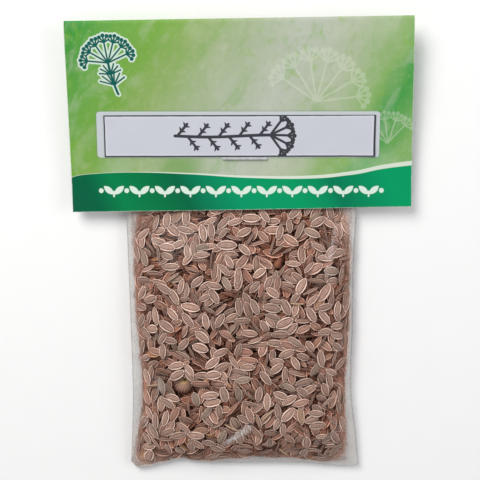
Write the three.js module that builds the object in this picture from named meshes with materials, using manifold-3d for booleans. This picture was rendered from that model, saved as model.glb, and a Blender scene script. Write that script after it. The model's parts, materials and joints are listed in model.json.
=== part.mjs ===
// A sachet of dill seed: a clear film bag of seed, closed by a folded header card, a pasted
// paper slip and one wire staple. It lies on its back.
// Millimetres, +X to the right, +Y towards the card's fold, +Z out of the front, z = 0 the surface.
import * as THREE from 'three';
import { mergeVertices } from 'three/addons/utils/BufferGeometryUtils.js';
import Module from 'manifold-3d';

const { clamp, degToRad, lerp, smoothstep } = THREE.MathUtils;
const wasm = await Module();
wasm.setup();

// Driving dimensions: the header card
const CARD_WIDTH = 90;
const PANEL_HEIGHT = 50;
const CARD_THICKNESS = 0.4;
const STAPLE_TO_FOLD = 36.4;
const CARD_RISE = degToRad(6);
const NECK_HEIGHT = 4.2;
const NECK_HALF_GAP = 0.47;
const LOWER_HALF_GAP = 2.15;
const FOLD_HALF_GAP = 0.12;
const GAP_CLOSES_AT = 30.5;
const SIDE_CLOSING = 0.3;

// The film bag. A distance called down runs from the staple line towards the bag's bottom edge.
const FILM = 0.25;
const SLIT_HALF = 0.1;
const MOUTH_DOWN = -30;
const BOTTOM_LINE = 84;
const LEVEL_ABOVE = 50;
const BAG_TOP = 11.3;
const PILLOW_POWER = 3;
const END_LENGTH = 19;
const END_POWER = 2.2;
const FRONT_SWELLS = [2, 44];
const BACK_SWELLS = [2, 34];
const BACK_PRESS = 1.75;
const NECK_LEAVES = [9, 26];

// The paper slip and the staple
const SLIP = { width: 71.2, height: 11.1, thickness: 0.15, x: -0.3, y: 5.3 };
const SLIP_TURN = degToRad(-0.85);
const LAYER_GAP = 0.1;
const STAPLE = { crown: 12.2, wide: 0.6, thick: 0.5, clinch: 4.3, x: 0.9 };
const HOLE_RADIUS = 0.46;

// The seed, larger than life so that the heap keeps its look with few faces
const SEED = { length: 8.6, width: 4.3, keel: 0.8, root: 1.9 };
const SEED_SPACING = 5.8;
const SEED_JITTER = 2.2;
const SEED_CLEARANCE = 0.36;
const SEED_SIZES = [1, 0.88, 0.76, 0.66];
const SEED_LEAN = [0.5, 0.3];
const EDGE_CLEARANCE = 1;
const TWO_LAYERS = 4.4;
const HEAP_TOP = 13.5;
const RIM_INSET = 3;
const RIM_SPACING = 4.4;
const RIM_JITTER = 0.8;
const CORE_INSET = 1.6;
const CORE_HALF_LEAST = 0.2;
const ROUND_SEED = { radius: 2.75, x: -16.9, down: 61.1, depth: 0.75, pocket: 0.35, ribs: 12, relief: 0.12 };

const staplePlane = new THREE.Matrix4()
  .makeTranslation(0, 0, NECK_HEIGHT)
  .multiply(new THREE.Matrix4().makeRotationX(CARD_RISE));

// A smooth curve through a few measured places, as a function of the first number
function through(points) {
  const last = points.length - 1;
  const slope = (from, to) => (points[to][1] - points[from][1]) / (points[to][0] - points[from][0]);
  const tangent = (i) => slope(Math.max(i - 1, 0), Math.min(i + 1, last));
  return (at) => {
    let i = 0;
    while (i < last - 1 && points[i + 1][0] <= at) {
      i += 1;
    }
    const span = points[i + 1][0] - points[i][0];
    const s = clamp((at - points[i][0]) / span, 0, 1);
    const level = lerp(points[i][1], points[i + 1][1], s * s * (3 - 2 * s));
    return level + s * (1 - s) * span * ((1 - s) * tangent(i) - s * tangent(i + 1));
  };
}

// Repeatable random numbers from 0 to 1
function dice(seed) {
  let state = seed;
  return () => {
    state = (Math.imul(state, 1664525) + 1013904223) >>> 0;
    return state / 4294967296;
  };
}

// The bag's outline and the empty margins inside it, read off its flat outline
const leftEdge = through([[-30, -30.9], [15, -31.1], [41, -31], [64, -30.9], [75, -31.4], [85, -32]]);
const rightEdge = through([
  [-30, 31], [15, 30.9], [30, 30.1], [48, 29.8], [64, 29.3], [76, 30.5], [86, 31.3],
]);
const bottomEdge = through([
  [-32, 84.2], [-30, 86.2], [-18.8, 84.1], [-12.9, 84.9],
  [14.3, 85.5], [21.9, 86.2], [29.8, 87], [31.3, 86.4],
]);
const leftMargin = through([[-30, 1], [5, 1.6], [15, 2.3], [40, 2.5], [64, 3.5], [84, 1.2]]);
const rightMargin = through([[-30, 1], [5, 1.4], [15, 1.9], [40, 1.1], [64, 2.4], [84, 4]]);
const bottomMargin = through([[-32, 1.1], [-20, 1.5], [0, 1.4], [18, 1.6], [31, 3.2]]);
const seamHeight = through([[10, 3], [30, 3.3], [50, 3.7], [70, 3.1], [87, 2.1]]);

const fillLeft = (down) => leftEdge(down) + leftMargin(down);
const fillRight = (down) => rightEdge(down) - rightMargin(down);
const fillBottom = (x) => bottomEdge(x) - bottomMargin(x);

// Height of the plane where the two films meet: the card's own plane at the neck, the seam's below it
function middle(down) {
  const neck = NECK_HEIGHT - down * Math.tan(CARD_RISE);
  return lerp(neck, seamHeight(down), smoothstep(down, ...NECK_LEAVES));
}

// The inner faces of the front and back film over a place in the bag
function filmGap(x, down) {
  const across = clamp(((x - fillLeft(down)) / (fillRight(down) - fillLeft(down))) * 2 - 1, -1, 1);
  const pillow = 1 - Math.abs(across) ** PILLOW_POWER;
  const end = clamp((fillBottom(x) - down) / END_LENGTH, 0, 1);
  const swell = pillow * (1 - (1 - end) ** END_POWER);
  const open = SLIT_HALF * Math.min(1, 5 * (1 - Math.abs(across)), 20 * end);
  const seam = middle(down);
  const rise = (BAG_TOP - FILM - seam) * swell * smoothstep(down, ...FRONT_SWELLS);
  const drop = BACK_PRESS * seam * swell * smoothstep(down, ...BACK_SWELLS);
  return { front: seam + open + rise, back: Math.max(FILM, seam - open - drop) };
}

// A mesh under construction, with quads split along the same diagonal whichever way they face
class Skin {
  points = [];
  faces = [];

  add(x, y, z) {
    return this.points.push(x, y, z) / 3 - 1;
  }

  quad(a, b, c, d) {
    this.faces.push(a, b, c, a, c, d);
  }

  quadBack(a, b, c, d) {
    this.faces.push(a, c, b, a, d, c);
  }

  geometry() {
    const geometry = new THREE.BufferGeometry();
    geometry.setAttribute('position', new THREE.Float32BufferAttribute(this.points, 3));
    geometry.setIndex(this.faces);
    return geometry;
  }
}

function toSolid(geometry) {
  const bare = geometry.clone();
  bare.deleteAttribute('normal');
  bare.deleteAttribute('uv');
  const merged = mergeVertices(bare, 1e-5);
  return new wasm.Manifold(new wasm.Mesh({
    numProp: 3,
    vertProperties: new Float32Array(merged.attributes.position.array),
    triVerts: new Uint32Array(merged.index.array),
  }));
}

function toGeometry(solid) {
  const { numProp, vertProperties, triVerts } = solid.getMesh();
  const points = [];
  for (let i = 0; i < vertProperties.length; i += numProp) {
    points.push(vertProperties[i], vertProperties[i + 1], vertProperties[i + 2]);
  }
  const geometry = new THREE.BufferGeometry();
  geometry.setAttribute('position', new THREE.Float32BufferAttribute(points, 3));
  geometry.setIndex(Array.from(triVerts));
  return geometry;
}

// The outermost closed skin alone: loose scraps go, and hollows sealed by fusing are filled
function outerSkin(solid) {
  return solid.decompose().reduce((best, piece) => (piece.volume() > best.volume() ? piece : best));
}

function finish(name, geometry, color, roughness, metalness = 0, opacity = 1) {
  const flat = geometry.index ? geometry.toNonIndexed() : geometry;
  flat.computeVertexNormals();
  const transparent = opacity < 1;
  const material = new THREE.MeshStandardMaterial({ color, roughness, metalness, opacity, transparent });
  const mesh = new THREE.Mesh(flat, material);
  mesh.name = name;
  return mesh;
}

// The two holes that the staple's legs pass through, in the card's own plane
function legHoles() {
  return [-1, 1].map((side) => {
    const hole = new THREE.CylinderGeometry(HOLE_RADIUS, HOLE_RADIUS, 12, 8);
    hole.rotateX(Math.PI / 2);
    hole.translate(side * (STAPLE.crown - STAPLE.wide) / 2, 0, 0);
    hole.rotateZ(SLIP_TURN);
    hole.translate(STAPLE.x, 0, 0);
    return hole;
  });
}

function pierce(solid, plane = new THREE.Matrix4()) {
  return legHoles().reduce((body, hole) => body.subtract(toSolid(hole.applyMatrix4(plane))), solid);
}

// The bag: film sheets over a shared grid, closed at the sides and the bottom, open at the mouth
function bag() {
  const across = [-1, -0.94, -0.83, -0.67, -0.47, -0.24, 0, 0.24, 0.47, 0.67, 0.83, 0.94, 1];
  const length = BOTTOM_LINE - MOUTH_DOWN;
  const above = [0, 1.2, 3.2, 6.2, 10.5, 16, 23, 31, 39, 46, 52, 58, 63, 67, 71, 75, 79, 83.5, 96, length];
  const columns = across.length + 1;
  const rows = above.length;

  const sideways = (column, down) => {
    if (column === 0) {
      return leftEdge(down);
    }
    if (column === columns) {
      return rightEdge(down);
    }
    return lerp(fillLeft(down), fillRight(down), (across[column - 1] + 1) / 2);
  };
  const place = (column, row) => {
    const lift = row === 0 ? 0 : above[row - 1];
    const x = sideways(column, BOTTOM_LINE - lift);
    const edge = row === 0 ? bottomEdge(x) : fillBottom(x);
    const down = BOTTOM_LINE - lift + (edge - BOTTOM_LINE) * (1 - smoothstep(lift, 0, LEVEL_ABOVE));
    return { x: sideways(column, down), down };
  };

  const skin = new Skin();
  const sheets = { outFront: [], inFront: [], inBack: [], outBack: [] };
  for (let column = 0; column <= columns; column += 1) {
    Object.values(sheets).forEach((sheet) => sheet.push([]));
    for (let row = 0; row <= rows; row += 1) {
      const { x, down } = place(column, row);
      const { front, back } = filmGap(x, down);
      const y = -down;
      sheets.outFront[column].push(skin.add(x, y, front + FILM));
      sheets.outBack[column].push(skin.add(x, y, back - FILM));
      const sealed = column <= 1 || column >= columns - 1 || row <= 1;
      const inner = skin.add(x, y, sealed ? (front + back) / 2 : front);
      sheets.inFront[column].push(inner);
      sheets.inBack[column].push(sealed ? inner : skin.add(x, y, back));
    }
  }

  const { outFront, inFront, inBack, outBack } = sheets;
  const corners = (sheet, c, r) => [sheet[c][r], sheet[c + 1][r], sheet[c + 1][r + 1], sheet[c][r + 1]];
  for (let c = 0; c < columns; c += 1) {
    for (let r = 0; r < rows; r += 1) {
      skin.quad(...corners(outFront, c, r));
      skin.quadBack(...corners(outBack, c, r));
      if (c > 0 && c < columns - 1 && r > 0) {
        skin.quadBack(...corners(inFront, c, r));
        skin.quad(...corners(inBack, c, r));
      }
    }
    skin.quad(outBack[c][0], outBack[c + 1][0], outFront[c + 1][0], outFront[c][0]);
  }
  for (let r = 0; r < rows; r += 1) {
    skin.quad(outBack[0][r + 1], outBack[0][r], outFront[0][r], outFront[0][r + 1]);
    skin.quad(outBack[columns][r], outBack[columns][r + 1], outFront[columns][r + 1], outFront[columns][r]);
  }

  // The rim round the open mouth
  const end = rows;
  for (let c = 1; c < columns - 1; c += 1) {
    skin.quad(inFront[c + 1][end], inFront[c][end], outFront[c][end], outFront[c + 1][end]);
    skin.quad(outBack[c + 1][end], outBack[c][end], inBack[c][end], inBack[c + 1][end]);
  }
  const [left, right] = [inFront[1][end], inFront[columns - 1][end]];
  skin.faces.push(left, outBack[1][end], outBack[0][end], left, outBack[0][end], outFront[0][end]);
  skin.faces.push(left, outFront[0][end], outFront[1][end]);
  skin.faces.push(right, outFront[columns - 1][end], outFront[columns][end]);
  skin.faces.push(right, outFront[columns][end], outBack[columns][end]);
  skin.faces.push(right, outBack[columns][end], outBack[columns - 1][end]);
  return toGeometry(pierce(toSolid(skin.geometry()), staplePlane));
}

// One seed: a pointed oval with a keel on its face and a deep root below
function seedGeometry() {
  const { length, width, keel, root } = SEED;
  const [tip, shoulder, side, ridge] = [length / 2, length * 0.2, width / 2, length * 0.24];
  const skin = new Skin();
  const rim = [
    [-tip, 0], [-shoulder, -side], [shoulder, -side], [tip, 0], [shoulder, side], [-shoulder, side],
  ].map(([x, y]) => skin.add(x, y, 0));
  const low = skin.add(-ridge, 0, keel);
  const high = skin.add(ridge, 0, keel);
  const bottom = skin.add(0, 0, -root);
  skin.faces.push(rim[0], rim[1], low, rim[5], rim[0], low, rim[2], rim[3], high, rim[3], rim[4], high);
  skin.quad(rim[1], rim[2], high, low);
  skin.quad(rim[4], rim[5], low, high);
  for (let i = 0; i < rim.length; i += 1) {
    skin.faces.push(rim[(i + 1) % rim.length], rim[i], bottom);
  }
  return skin.geometry();
}

// The heap's smooth core, which the seeds stand out of
function seedCore() {
  const across = [-0.86, -0.72, -0.5, -0.25, 0, 0.25, 0.5, 0.72, 0.86];
  const along = [17, 22, 28, 36, 45, 54, 62, 69, 75, 80];
  const skin = new Skin();
  const front = [];
  const back = [];
  across.forEach((part) => {
    front.push([]);
    back.push([]);
    along.forEach((station) => {
      const narrowed = part * lerp(0.72, 1, smoothstep(station, 16, 30));
      const x = lerp(fillLeft(station), fillRight(station), (narrowed + 1) / 2);
      const down = station + (fillBottom(x) - BOTTOM_LINE) * smoothstep(station, 60, 80);
      const gap = filmGap(x, down);
      const heart = (gap.front + gap.back) / 2;
      const half = Math.max((gap.front - gap.back) / 2 - CORE_INSET, CORE_HALF_LEAST);
      front[front.length - 1].push(skin.add(x, -down, heart + half));
      back[back.length - 1].push(skin.add(x, -down, heart - half));
    });
  });
  const [sides, ends] = [across.length - 1, along.length - 1];
  for (let i = 0; i < sides; i += 1) {
    for (let j = 0; j < ends; j += 1) {
      skin.quadBack(front[i][j], front[i + 1][j], front[i + 1][j + 1], front[i][j + 1]);
      skin.quad(back[i][j], back[i + 1][j], back[i + 1][j + 1], back[i][j + 1]);
    }
    skin.quad(back[i][0], front[i][0], front[i + 1][0], back[i + 1][0]);
    skin.quadBack(back[i][ends], front[i][ends], front[i + 1][ends], back[i + 1][ends]);
  }
  for (let j = 0; j < ends; j += 1) {
    skin.quadBack(back[0][j], front[0][j], front[0][j + 1], back[0][j + 1]);
    skin.quad(back[sides][j], front[sides][j], front[sides][j + 1], back[sides][j + 1]);
  }
  return skin.geometry();
}

// Lays a seed against a film face: side is 1 for the front film, -1 for the back one, 0 for the seam
function laySeed(shape, x, down, side, random) {
  const [turn, nod, tilt] = [Math.PI * 2, SEED_LEAN[1], SEED_LEAN[0]].map((most) => (random() - 0.5) * most);
  const level = (at, below) => {
    const gap = filmGap(at, below);
    return side === 0 ? (gap.front + gap.back) / 2 : side > 0 ? gap.front : gap.back;
  };
  const step = 0.8;
  const alongX = (level(x + step, down) - level(x - step, down)) / (2 * step);
  const alongY = (level(x, down - step) - level(x, down + step)) / (2 * step);
  const outward = new THREE.Vector3(-alongX, -alongY, 1).multiplyScalar(side < 0 ? -1 : 1).normalize();
  const pose = new THREE.Quaternion()
    .setFromUnitVectors(new THREE.Vector3(0, 0, 1), outward)
    .multiply(new THREE.Quaternion().setFromEuler(new THREE.Euler(tilt, nod, turn, 'XYZ')));

  for (const size of SEED_SIZES) {
    const geometry = shape.clone();
    geometry.scale(size, size, size);
    geometry.applyQuaternion(pose);
    geometry.translate(x, -down, level(x, down) - side * SEED.keel * size);
    const { array } = geometry.attributes.position;
    let [over, under, nearest] = [-Infinity, -Infinity, Infinity];
    for (let i = 0; i < array.length; i += 3) {
      const [px, below, pz] = [array[i], -array[i + 1], array[i + 2]];
      const gap = filmGap(px, below);
      const room = Math.min(fillRight(below) - px, px - fillLeft(below), fillBottom(px) - below);
      over = Math.max(over, pz - gap.front + SEED_CLEARANCE);
      under = Math.max(under, gap.back + SEED_CLEARANCE - pz);
      nearest = Math.min(nearest, room);
    }
    if (nearest >= EDGE_CLEARANCE && over + under <= 0) {
      const shift = side > 0 ? -over : side < 0 ? under : (under - over) / 2;
      geometry.translate(0, 0, shift);
      return toSolid(geometry);
    }
  }
  return null;
}

// Places on a jittered triangular lattice over the bag
function lattice(random, shifted) {
  const places = [];
  const rowStep = SEED_SPACING * Math.sqrt(3) / 2;
  const jitter = () => (random() - 0.5) * SEED_JITTER;
  for (let row = 0; HEAP_TOP + row * rowStep < BOTTOM_LINE + 3; row += 1) {
    const offset = ((row + shifted) % 2) * SEED_SPACING / 2;
    for (let across = -33 + offset; across < 33; across += SEED_SPACING) {
      places.push([across + jitter(), HEAP_TOP + row * rowStep + jitter()]);
    }
  }
  return places;
}

// Places down the left seam, along the bottom and up the right seam
function rim(random) {
  const places = [];
  const inset = () => RIM_INSET + random() * RIM_JITTER;
  for (let down = HEAP_TOP + 6; down < BOTTOM_LINE - 2; down += RIM_SPACING) {
    places.push([fillLeft(down) + inset(), down]);
    places.push([fillRight(down) - inset(), down + RIM_SPACING / 2]);
  }
  for (let x = -27; x < 26; x += RIM_SPACING) {
    places.push([x, fillBottom(x) - inset()]);
  }
  return places;
}

// The heap: seeds along the seams, over the front and over the back, fused to the core
function seedFill() {
  const shape = seedGeometry();
  const random = dice(20);
  const seeds = rim(random).map(([x, down]) => laySeed(shape, x, down, 0, random));
  for (const side of [1, -1]) {
    lattice(random, side > 0 ? 0 : 1).forEach(([x, down]) => {
      const inside = x > fillLeft(down) && x < fillRight(down) && down < fillBottom(x);
      const gap = filmGap(x, down);
      if (inside && gap.front - gap.back > TWO_LAYERS) {
        seeds.push(laySeed(shape, x, down, side, random));
      }
    });
  }
  for (let x = -22; x < 24; x += SEED_SPACING) {
    seeds.push(laySeed(shape, x + random() * 2, HEAP_TOP + 1 + random() * 2, 0, random));
  }
  const laid = seeds.filter((seed) => seed !== null);
  return laid.reduce((heap, seed) => heap.add(seed), toSolid(seedCore()));
}

// The stray round seed among the others, with low ribs from pole to pole
function roundSeed() {
  const { radius, ribs, relief } = ROUND_SEED;
  const geometry = new THREE.SphereGeometry(radius, ribs * 2, 8);
  const { position } = geometry.attributes;
  const point = new THREE.Vector3();
  for (let i = 0; i < position.count; i += 1) {
    point.fromBufferAttribute(position, i);
    const girth = Math.hypot(point.x, point.z) / radius;
    const wave = Math.cos(Math.atan2(point.z, point.x) * ribs);
    point.multiplyScalar(1 + (relief / radius) * girth * wave);
    position.setXYZ(i, point.x, point.y, point.z);
  }
  return geometry;
}

function placeRoundSeed(geometry) {
  const { x, down, radius, depth } = ROUND_SEED;
  geometry.rotateX(degToRad(62));
  geometry.rotateZ(degToRad(-35));
  geometry.translate(x, -down, filmGap(x, down).front - radius - depth);
  return geometry;
}

// The header card: one folded sheet, its section carried across the width
function headerCard() {
  const lower = PANEL_HEIGHT - STAPLE_TO_FOLD;
  const heights = [-lower, -9, -4.5, 0, 10, 20, GAP_CLOSES_AT, STAPLE_TO_FOLD - 1.2];
  const halfGap = (y, x) => {
    const spread = (LOWER_HALF_GAP - NECK_HALF_GAP) * clamp(-y / lower, 0, 1) ** 1.5;
    const closing = smoothstep(y, GAP_CLOSES_AT, STAPLE_TO_FOLD);
    const sides = 1 - SIDE_CLOSING * (2 * x / CARD_WIDTH) ** 2;
    return lerp(NECK_HALF_GAP + spread * sides, FOLD_HALF_GAP, closing);
  };
  const section = (x) => {
    const outer = heights.map((y) => [y, halfGap(y, x) + CARD_THICKNESS]);
    const inner = heights.map((y) => [y, halfGap(y, x)]);
    const top = heights[heights.length - 1];
    const arc = (radius, reach, count) => Array.from({ length: count }, (_, i) => {
      const angle = (Math.PI * (i + 1)) / (count + 1);
      return [top + reach * Math.sin(angle), radius * Math.cos(angle)];
    });
    const back = (points) => points.map(([y, z]) => [y, -z]);
    const gap = halfGap(top, x);
    return [
      ...outer, ...arc(gap + CARD_THICKNESS, 1.2, 5), ...back(outer).reverse(),
      ...back(inner), ...arc(gap, 0.7, 3).reverse(), ...[...inner].reverse(),
    ];
  };

  const skin = new Skin();
  const stations = [-1, -0.76, -0.52, -0.26, 0, 0.26, 0.52, 0.76, 1].map((part) => part * CARD_WIDTH / 2);
  const rings = stations.map((x) => section(x).map(([y, z]) => skin.add(x, y, z)));
  const count = rings[0].length;
  for (let i = 0; i + 1 < rings.length; i += 1) {
    for (let j = 0; j < count; j += 1) {
      const next = (j + 1) % count;
      skin.quadBack(rings[i][j], rings[i][next], rings[i + 1][next], rings[i + 1][j]);
    }
  }
  const cap = (x, ring) => {
    const outline = section(x).map(([y, z]) => new THREE.Vector2(y, z));
    THREE.ShapeUtils.triangulateShape(outline, []).forEach(([a, b, c]) => {
      const facesRight = THREE.ShapeUtils.area([outline[a], outline[b], outline[c]]) > 0;
      skin.faces.push(...(facesRight === x > 0 ? [ring[a], ring[b], ring[c]] : [ring[a], ring[c], ring[b]]));
    });
  };
  cap(-CARD_WIDTH / 2, rings[0]);
  cap(CARD_WIDTH / 2, rings[rings.length - 1]);
  return toGeometry(pierce(toSolid(skin.geometry())));
}

function nameSlip() {
  const face = NECK_HALF_GAP + CARD_THICKNESS + LAYER_GAP;
  const slip = new THREE.BoxGeometry(SLIP.width, SLIP.height, SLIP.thickness);
  slip.rotateZ(SLIP_TURN);
  slip.translate(SLIP.x, SLIP.y, face + SLIP.thickness / 2);
  return toGeometry(pierce(toSolid(slip)));
}

// The staple: a flat crown, two legs and two clinched ends, swept in one plane
function staple() {
  const half = (STAPLE.crown - STAPLE.wide) / 2;
  const face = NECK_HALF_GAP + CARD_THICKNESS;
  const top = face + 2 * LAYER_GAP + SLIP.thickness + STAPLE.thick / 2;
  const bottom = -face - LAYER_GAP - STAPLE.thick / 2;
  const bend = 0.42;
  const path = [[half - STAPLE.clinch, bottom - 0.15], [half - bend, bottom]];
  const corner = (x, z, from, to) => [0.25, 0.5, 0.75].map((s) => {
    const angle = lerp(from, to, s);
    return [x + bend * Math.cos(angle), z + bend * Math.sin(angle)];
  });
  path.push(...corner(half - bend, bottom + bend, -Math.PI / 2, 0));
  path.push([half, bottom + bend], [half, top - bend]);
  path.push(...corner(half - bend, top - bend, 0, Math.PI / 2), [half - bend, top]);
  const mirrored = path.map(([x, z]) => [-x, z]).reverse();
  const line = [...path, ...mirrored].map(([x, z]) => new THREE.Vector2(x, z));

  const chamfer = 0.16;
  const [w, t] = [STAPLE.wide / 2, STAPLE.thick / 2];
  const wire = [
    [w - chamfer, -t], [w, -t + chamfer], [w, t - chamfer], [w - chamfer, t],
    [-w + chamfer, t], [-w, t - chamfer], [-w, -t + chamfer], [-w + chamfer, -t],
  ];
  const skin = new Skin();
  const rings = line.map((point, i) => {
    const before = line[Math.max(i - 1, 0)];
    const after = line[Math.min(i + 1, line.length - 1)];
    const normal = new THREE.Vector2(after.y - before.y, before.x - after.x).normalize();
    return wire.map(([y, out]) => skin.add(point.x + normal.x * out, y, point.y + normal.y * out));
  });
  for (let i = 0; i + 1 < rings.length; i += 1) {
    for (let j = 0; j < wire.length; j += 1) {
      const next = (j + 1) % wire.length;
      skin.quadBack(rings[i][j], rings[i][next], rings[i + 1][next], rings[i + 1][j]);
    }
  }
  const ends = [rings[0], rings[rings.length - 1]];
  for (let j = 1; j + 1 < wire.length; j += 1) {
    skin.faces.push(ends[0][0], ends[0][j], ends[0][j + 1], ends[1][0], ends[1][j + 1], ends[1][j]);
  }
  const geometry = skin.geometry();
  geometry.rotateZ(SLIP_TURN);
  geometry.translate(STAPLE.x, 0, 0);
  return geometry;
}

const group = new THREE.Group();

const pocket = placeRoundSeed(new THREE.SphereGeometry(ROUND_SEED.radius + ROUND_SEED.pocket, 16, 10));
const heap = outerSkin(seedFill().subtract(toSolid(pocket)));
group.add(finish('seed_fill', toGeometry(heap), '#8f6f60', 0.75));
group.add(finish('stray_round_seed', placeRoundSeed(roundSeed()), '#9a7b52', 0.7));
group.add(finish('bag', bag(), '#d8dcdd', 0.15, 0, 0.35));

const header = new THREE.Group();
header.applyMatrix4(staplePlane);
header.add(finish('header_card', headerCard(), '#6aa85c', 0.45));
header.add(finish('name_slip', nameSlip(), '#d4d5da', 0.8));
header.add(finish('staple', staple(), '#b9bcbf', 0.3, 1));
group.add(header);

// The origin is the middle of the packet's length, on the surface it lies on
const box = new THREE.Box3().setFromObject(group, true);
group.position.y = -(box.min.y + box.max.y) / 2;

export default group;
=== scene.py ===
"""A packet of dried dill seed: a clear film bag under a folded, stapled header card.

Lengths are in millimetres until they become a mesh. +X is right, +Y is towards the card's fold,
and +Z comes out of the packet's front. "Down" is a distance below the staple line.
"""

import json
import math

import bmesh
import bpy
import numpy as np
from mathutils import Matrix, Vector

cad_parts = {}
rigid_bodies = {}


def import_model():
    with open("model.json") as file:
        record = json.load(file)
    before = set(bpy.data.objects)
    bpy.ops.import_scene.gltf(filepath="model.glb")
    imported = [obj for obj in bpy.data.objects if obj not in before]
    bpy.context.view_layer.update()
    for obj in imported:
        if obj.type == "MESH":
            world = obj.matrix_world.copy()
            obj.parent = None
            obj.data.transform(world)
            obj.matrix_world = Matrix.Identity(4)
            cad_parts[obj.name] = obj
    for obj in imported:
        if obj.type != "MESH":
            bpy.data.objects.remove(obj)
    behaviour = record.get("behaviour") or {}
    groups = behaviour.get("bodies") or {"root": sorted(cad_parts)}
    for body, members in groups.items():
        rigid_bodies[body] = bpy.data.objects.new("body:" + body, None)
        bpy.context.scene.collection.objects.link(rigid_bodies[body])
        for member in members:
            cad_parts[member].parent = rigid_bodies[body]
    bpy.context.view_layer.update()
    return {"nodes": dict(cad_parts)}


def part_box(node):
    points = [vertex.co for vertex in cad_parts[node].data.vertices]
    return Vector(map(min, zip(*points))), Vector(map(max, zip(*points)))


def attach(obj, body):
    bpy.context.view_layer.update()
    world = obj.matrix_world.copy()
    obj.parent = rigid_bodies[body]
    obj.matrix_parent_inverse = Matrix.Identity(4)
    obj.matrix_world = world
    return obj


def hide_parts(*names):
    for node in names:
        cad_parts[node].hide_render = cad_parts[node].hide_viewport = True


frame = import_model()

MM = 0.001

# The packet's driving dimensions

STAPLE_LINE = 25.31
CARD_WIDTH = 90.0
CARD_THICKNESS = 0.4
STAPLE_TO_FOLD = 36.4
STAPLE_TO_EDGE = 13.6
CARD_RISE = math.radians(6)
FOLD_REACH = 1.2
NECK_HEIGHT = 4.2
NECK_HALF_GAP = 0.47
LOWER_HALF_GAP = 2.15
FOLD_HALF_GAP = 0.12
GAP_CLOSES_AT = 30.5
SIDE_CLOSING = 0.3

MOUTH_DOWN = -30.0
FILM_ROOM = 0.25
BAG_TOP = 11.3
SLIT_HALF = 0.1
PILLOW_POWER = 5
END_LENGTH = 15.0
END_POWER = 2.4
FRONT_SWELLS = (5, 37)
BACK_SWELLS = (4, 28)
BACK_PRESS = 1.75
NECK_LEAVES = (9, 26)

SLIP_WIDTH = 71.2
SLIP_HEIGHT = 11.1
SLIP_PLACE = (-0.3, 5.96)
SLIP_TURN = math.radians(-0.85)

SEED_LENGTH = 4.55
SEED_WIDTH = 2.1
SEED_THICKNESS = 0.58


# Small tools for shapes


def srgb(red, green, blue):
    """A colour as a screen shows it, 0 to 255, as the shader's light values."""
    channels = [c / 255 for c in (red, green, blue)]
    linear = [c / 12.92 if c <= 0.04045 else ((c + 0.055) / 1.055) ** 2.4 for c in channels]
    return (*linear, 1.0)


def lerp(low, high, share):
    return low + (high - low) * share


def swung(x, y, turn):
    """Places, as numbers or as wires, measured along axes that are turned by an angle."""
    return x * math.cos(turn) + y * math.sin(turn), y * math.cos(turn) - x * math.sin(turn)


def smoothstep(value, low, high):
    share = np.clip((value - low) / (high - low), 0, 1)
    return share * share * (3 - 2 * share)


def through(*points):
    """A smooth curve through the points, held level beyond its ends."""
    at = np.array([p[0] for p in points], float)
    level = np.array([p[1] for p in points], float)
    last = len(points) - 1
    order = np.arange(last + 1)
    before = np.maximum(order - 1, 0)
    after = np.minimum(order + 1, last)
    tangent = (level[after] - level[before]) / (at[after] - at[before])

    def curve(value):
        i = np.clip(np.searchsorted(at, value, side="right") - 1, 0, last - 1)
        span = at[i + 1] - at[i]
        s = np.clip((value - at[i]) / span, 0, 1)
        eased = lerp(level[i], level[i + 1], s * s * (3 - 2 * s))
        return eased + s * (1 - s) * span * ((1 - s) * tangent[i] - s * tangent[i + 1])

    return curve


def ripples(x, y, rng, size):
    """Soft random relief between about -1 and 1, with humps about size millimetres across."""
    waves = 14
    total = np.zeros_like(np.asarray(x + y, float))
    for _ in range(waves):
        heading = rng.uniform(0, math.tau)
        pace = math.pi / size * rng.uniform(0.6, 1.3)
        shift = rng.uniform(0, math.tau)
        total += np.cos(pace * (x * math.cos(heading) + y * math.sin(heading)) + shift)
    return total / math.sqrt(waves) / 1.6


def distance_to_line(x, y, start, end):
    """How far points lie from a straight stroke, and how far along it their nearest point is, 0 to 1."""
    run = np.array(end, float) - start
    share = np.clip(((x - start[0]) * run[0] + (y - start[1]) * run[1]) / (run @ run), 0, 1)
    return np.hypot(x - start[0] - share * run[0], y - start[1] - share * run[1]), share


def grid_faces(rows, columns, start=0, wrap=False):
    """Four-sided faces between the points of a grid that is counted row by row."""
    faces = []
    for row in range(rows - 1):
        for column in range(columns if wrap else columns - 1):
            across = (column + 1) % columns
            low = start + row * columns
            high = low + columns
            faces.append((low + column, low + across, high + across, high + column))
    return faces


def ball_faces(rows, columns, start, poles):
    """Faces of rings that start at a point's number, closed at both ends with the two poles."""
    faces = grid_faces(rows, columns, start=start, wrap=True)
    last = start + (rows - 1) * columns
    for column in range(columns):
        after = (column + 1) % columns
        faces.append((poles[0], start + after, start + column))
        faces.append((poles[1], last + column, last + after))
    return faces


def thin_sheet(upper, under):
    """Points and faces of a sheet from the grids of its two sides; its rim's faces come last."""
    rows, columns = upper.shape[:2]
    count = rows * columns
    faces = grid_faces(rows, columns) + grid_faces(rows, columns, start=count)
    border = [row * columns for row in range(rows)]
    border += [(rows - 1) * columns + column for column in range(1, columns)]
    border += [row * columns + columns - 1 for row in range(rows - 2, -1, -1)]
    border += range(columns - 2, 0, -1)
    for corner, after in zip(border, border[1:] + border[:1]):
        faces.append((corner, after, after + count, corner + count))
    return np.concatenate((upper.reshape(-1, 3), under.reshape(-1, 3))), faces


def place_object(name, data):
    piece = bpy.data.objects.new(name, data)
    bpy.context.scene.collection.objects.link(piece)
    return piece


def apply_modifier(piece, modifier):
    """Keeps what the piece's modifier makes of it as a plain mesh."""
    bpy.context.view_layer.update()
    evaluated = piece.evaluated_get(bpy.context.evaluated_depsgraph_get())
    mesh = bpy.data.meshes.new_from_object(evaluated)
    piece.modifiers.remove(modifier)
    piece.data = mesh
    return mesh


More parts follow.
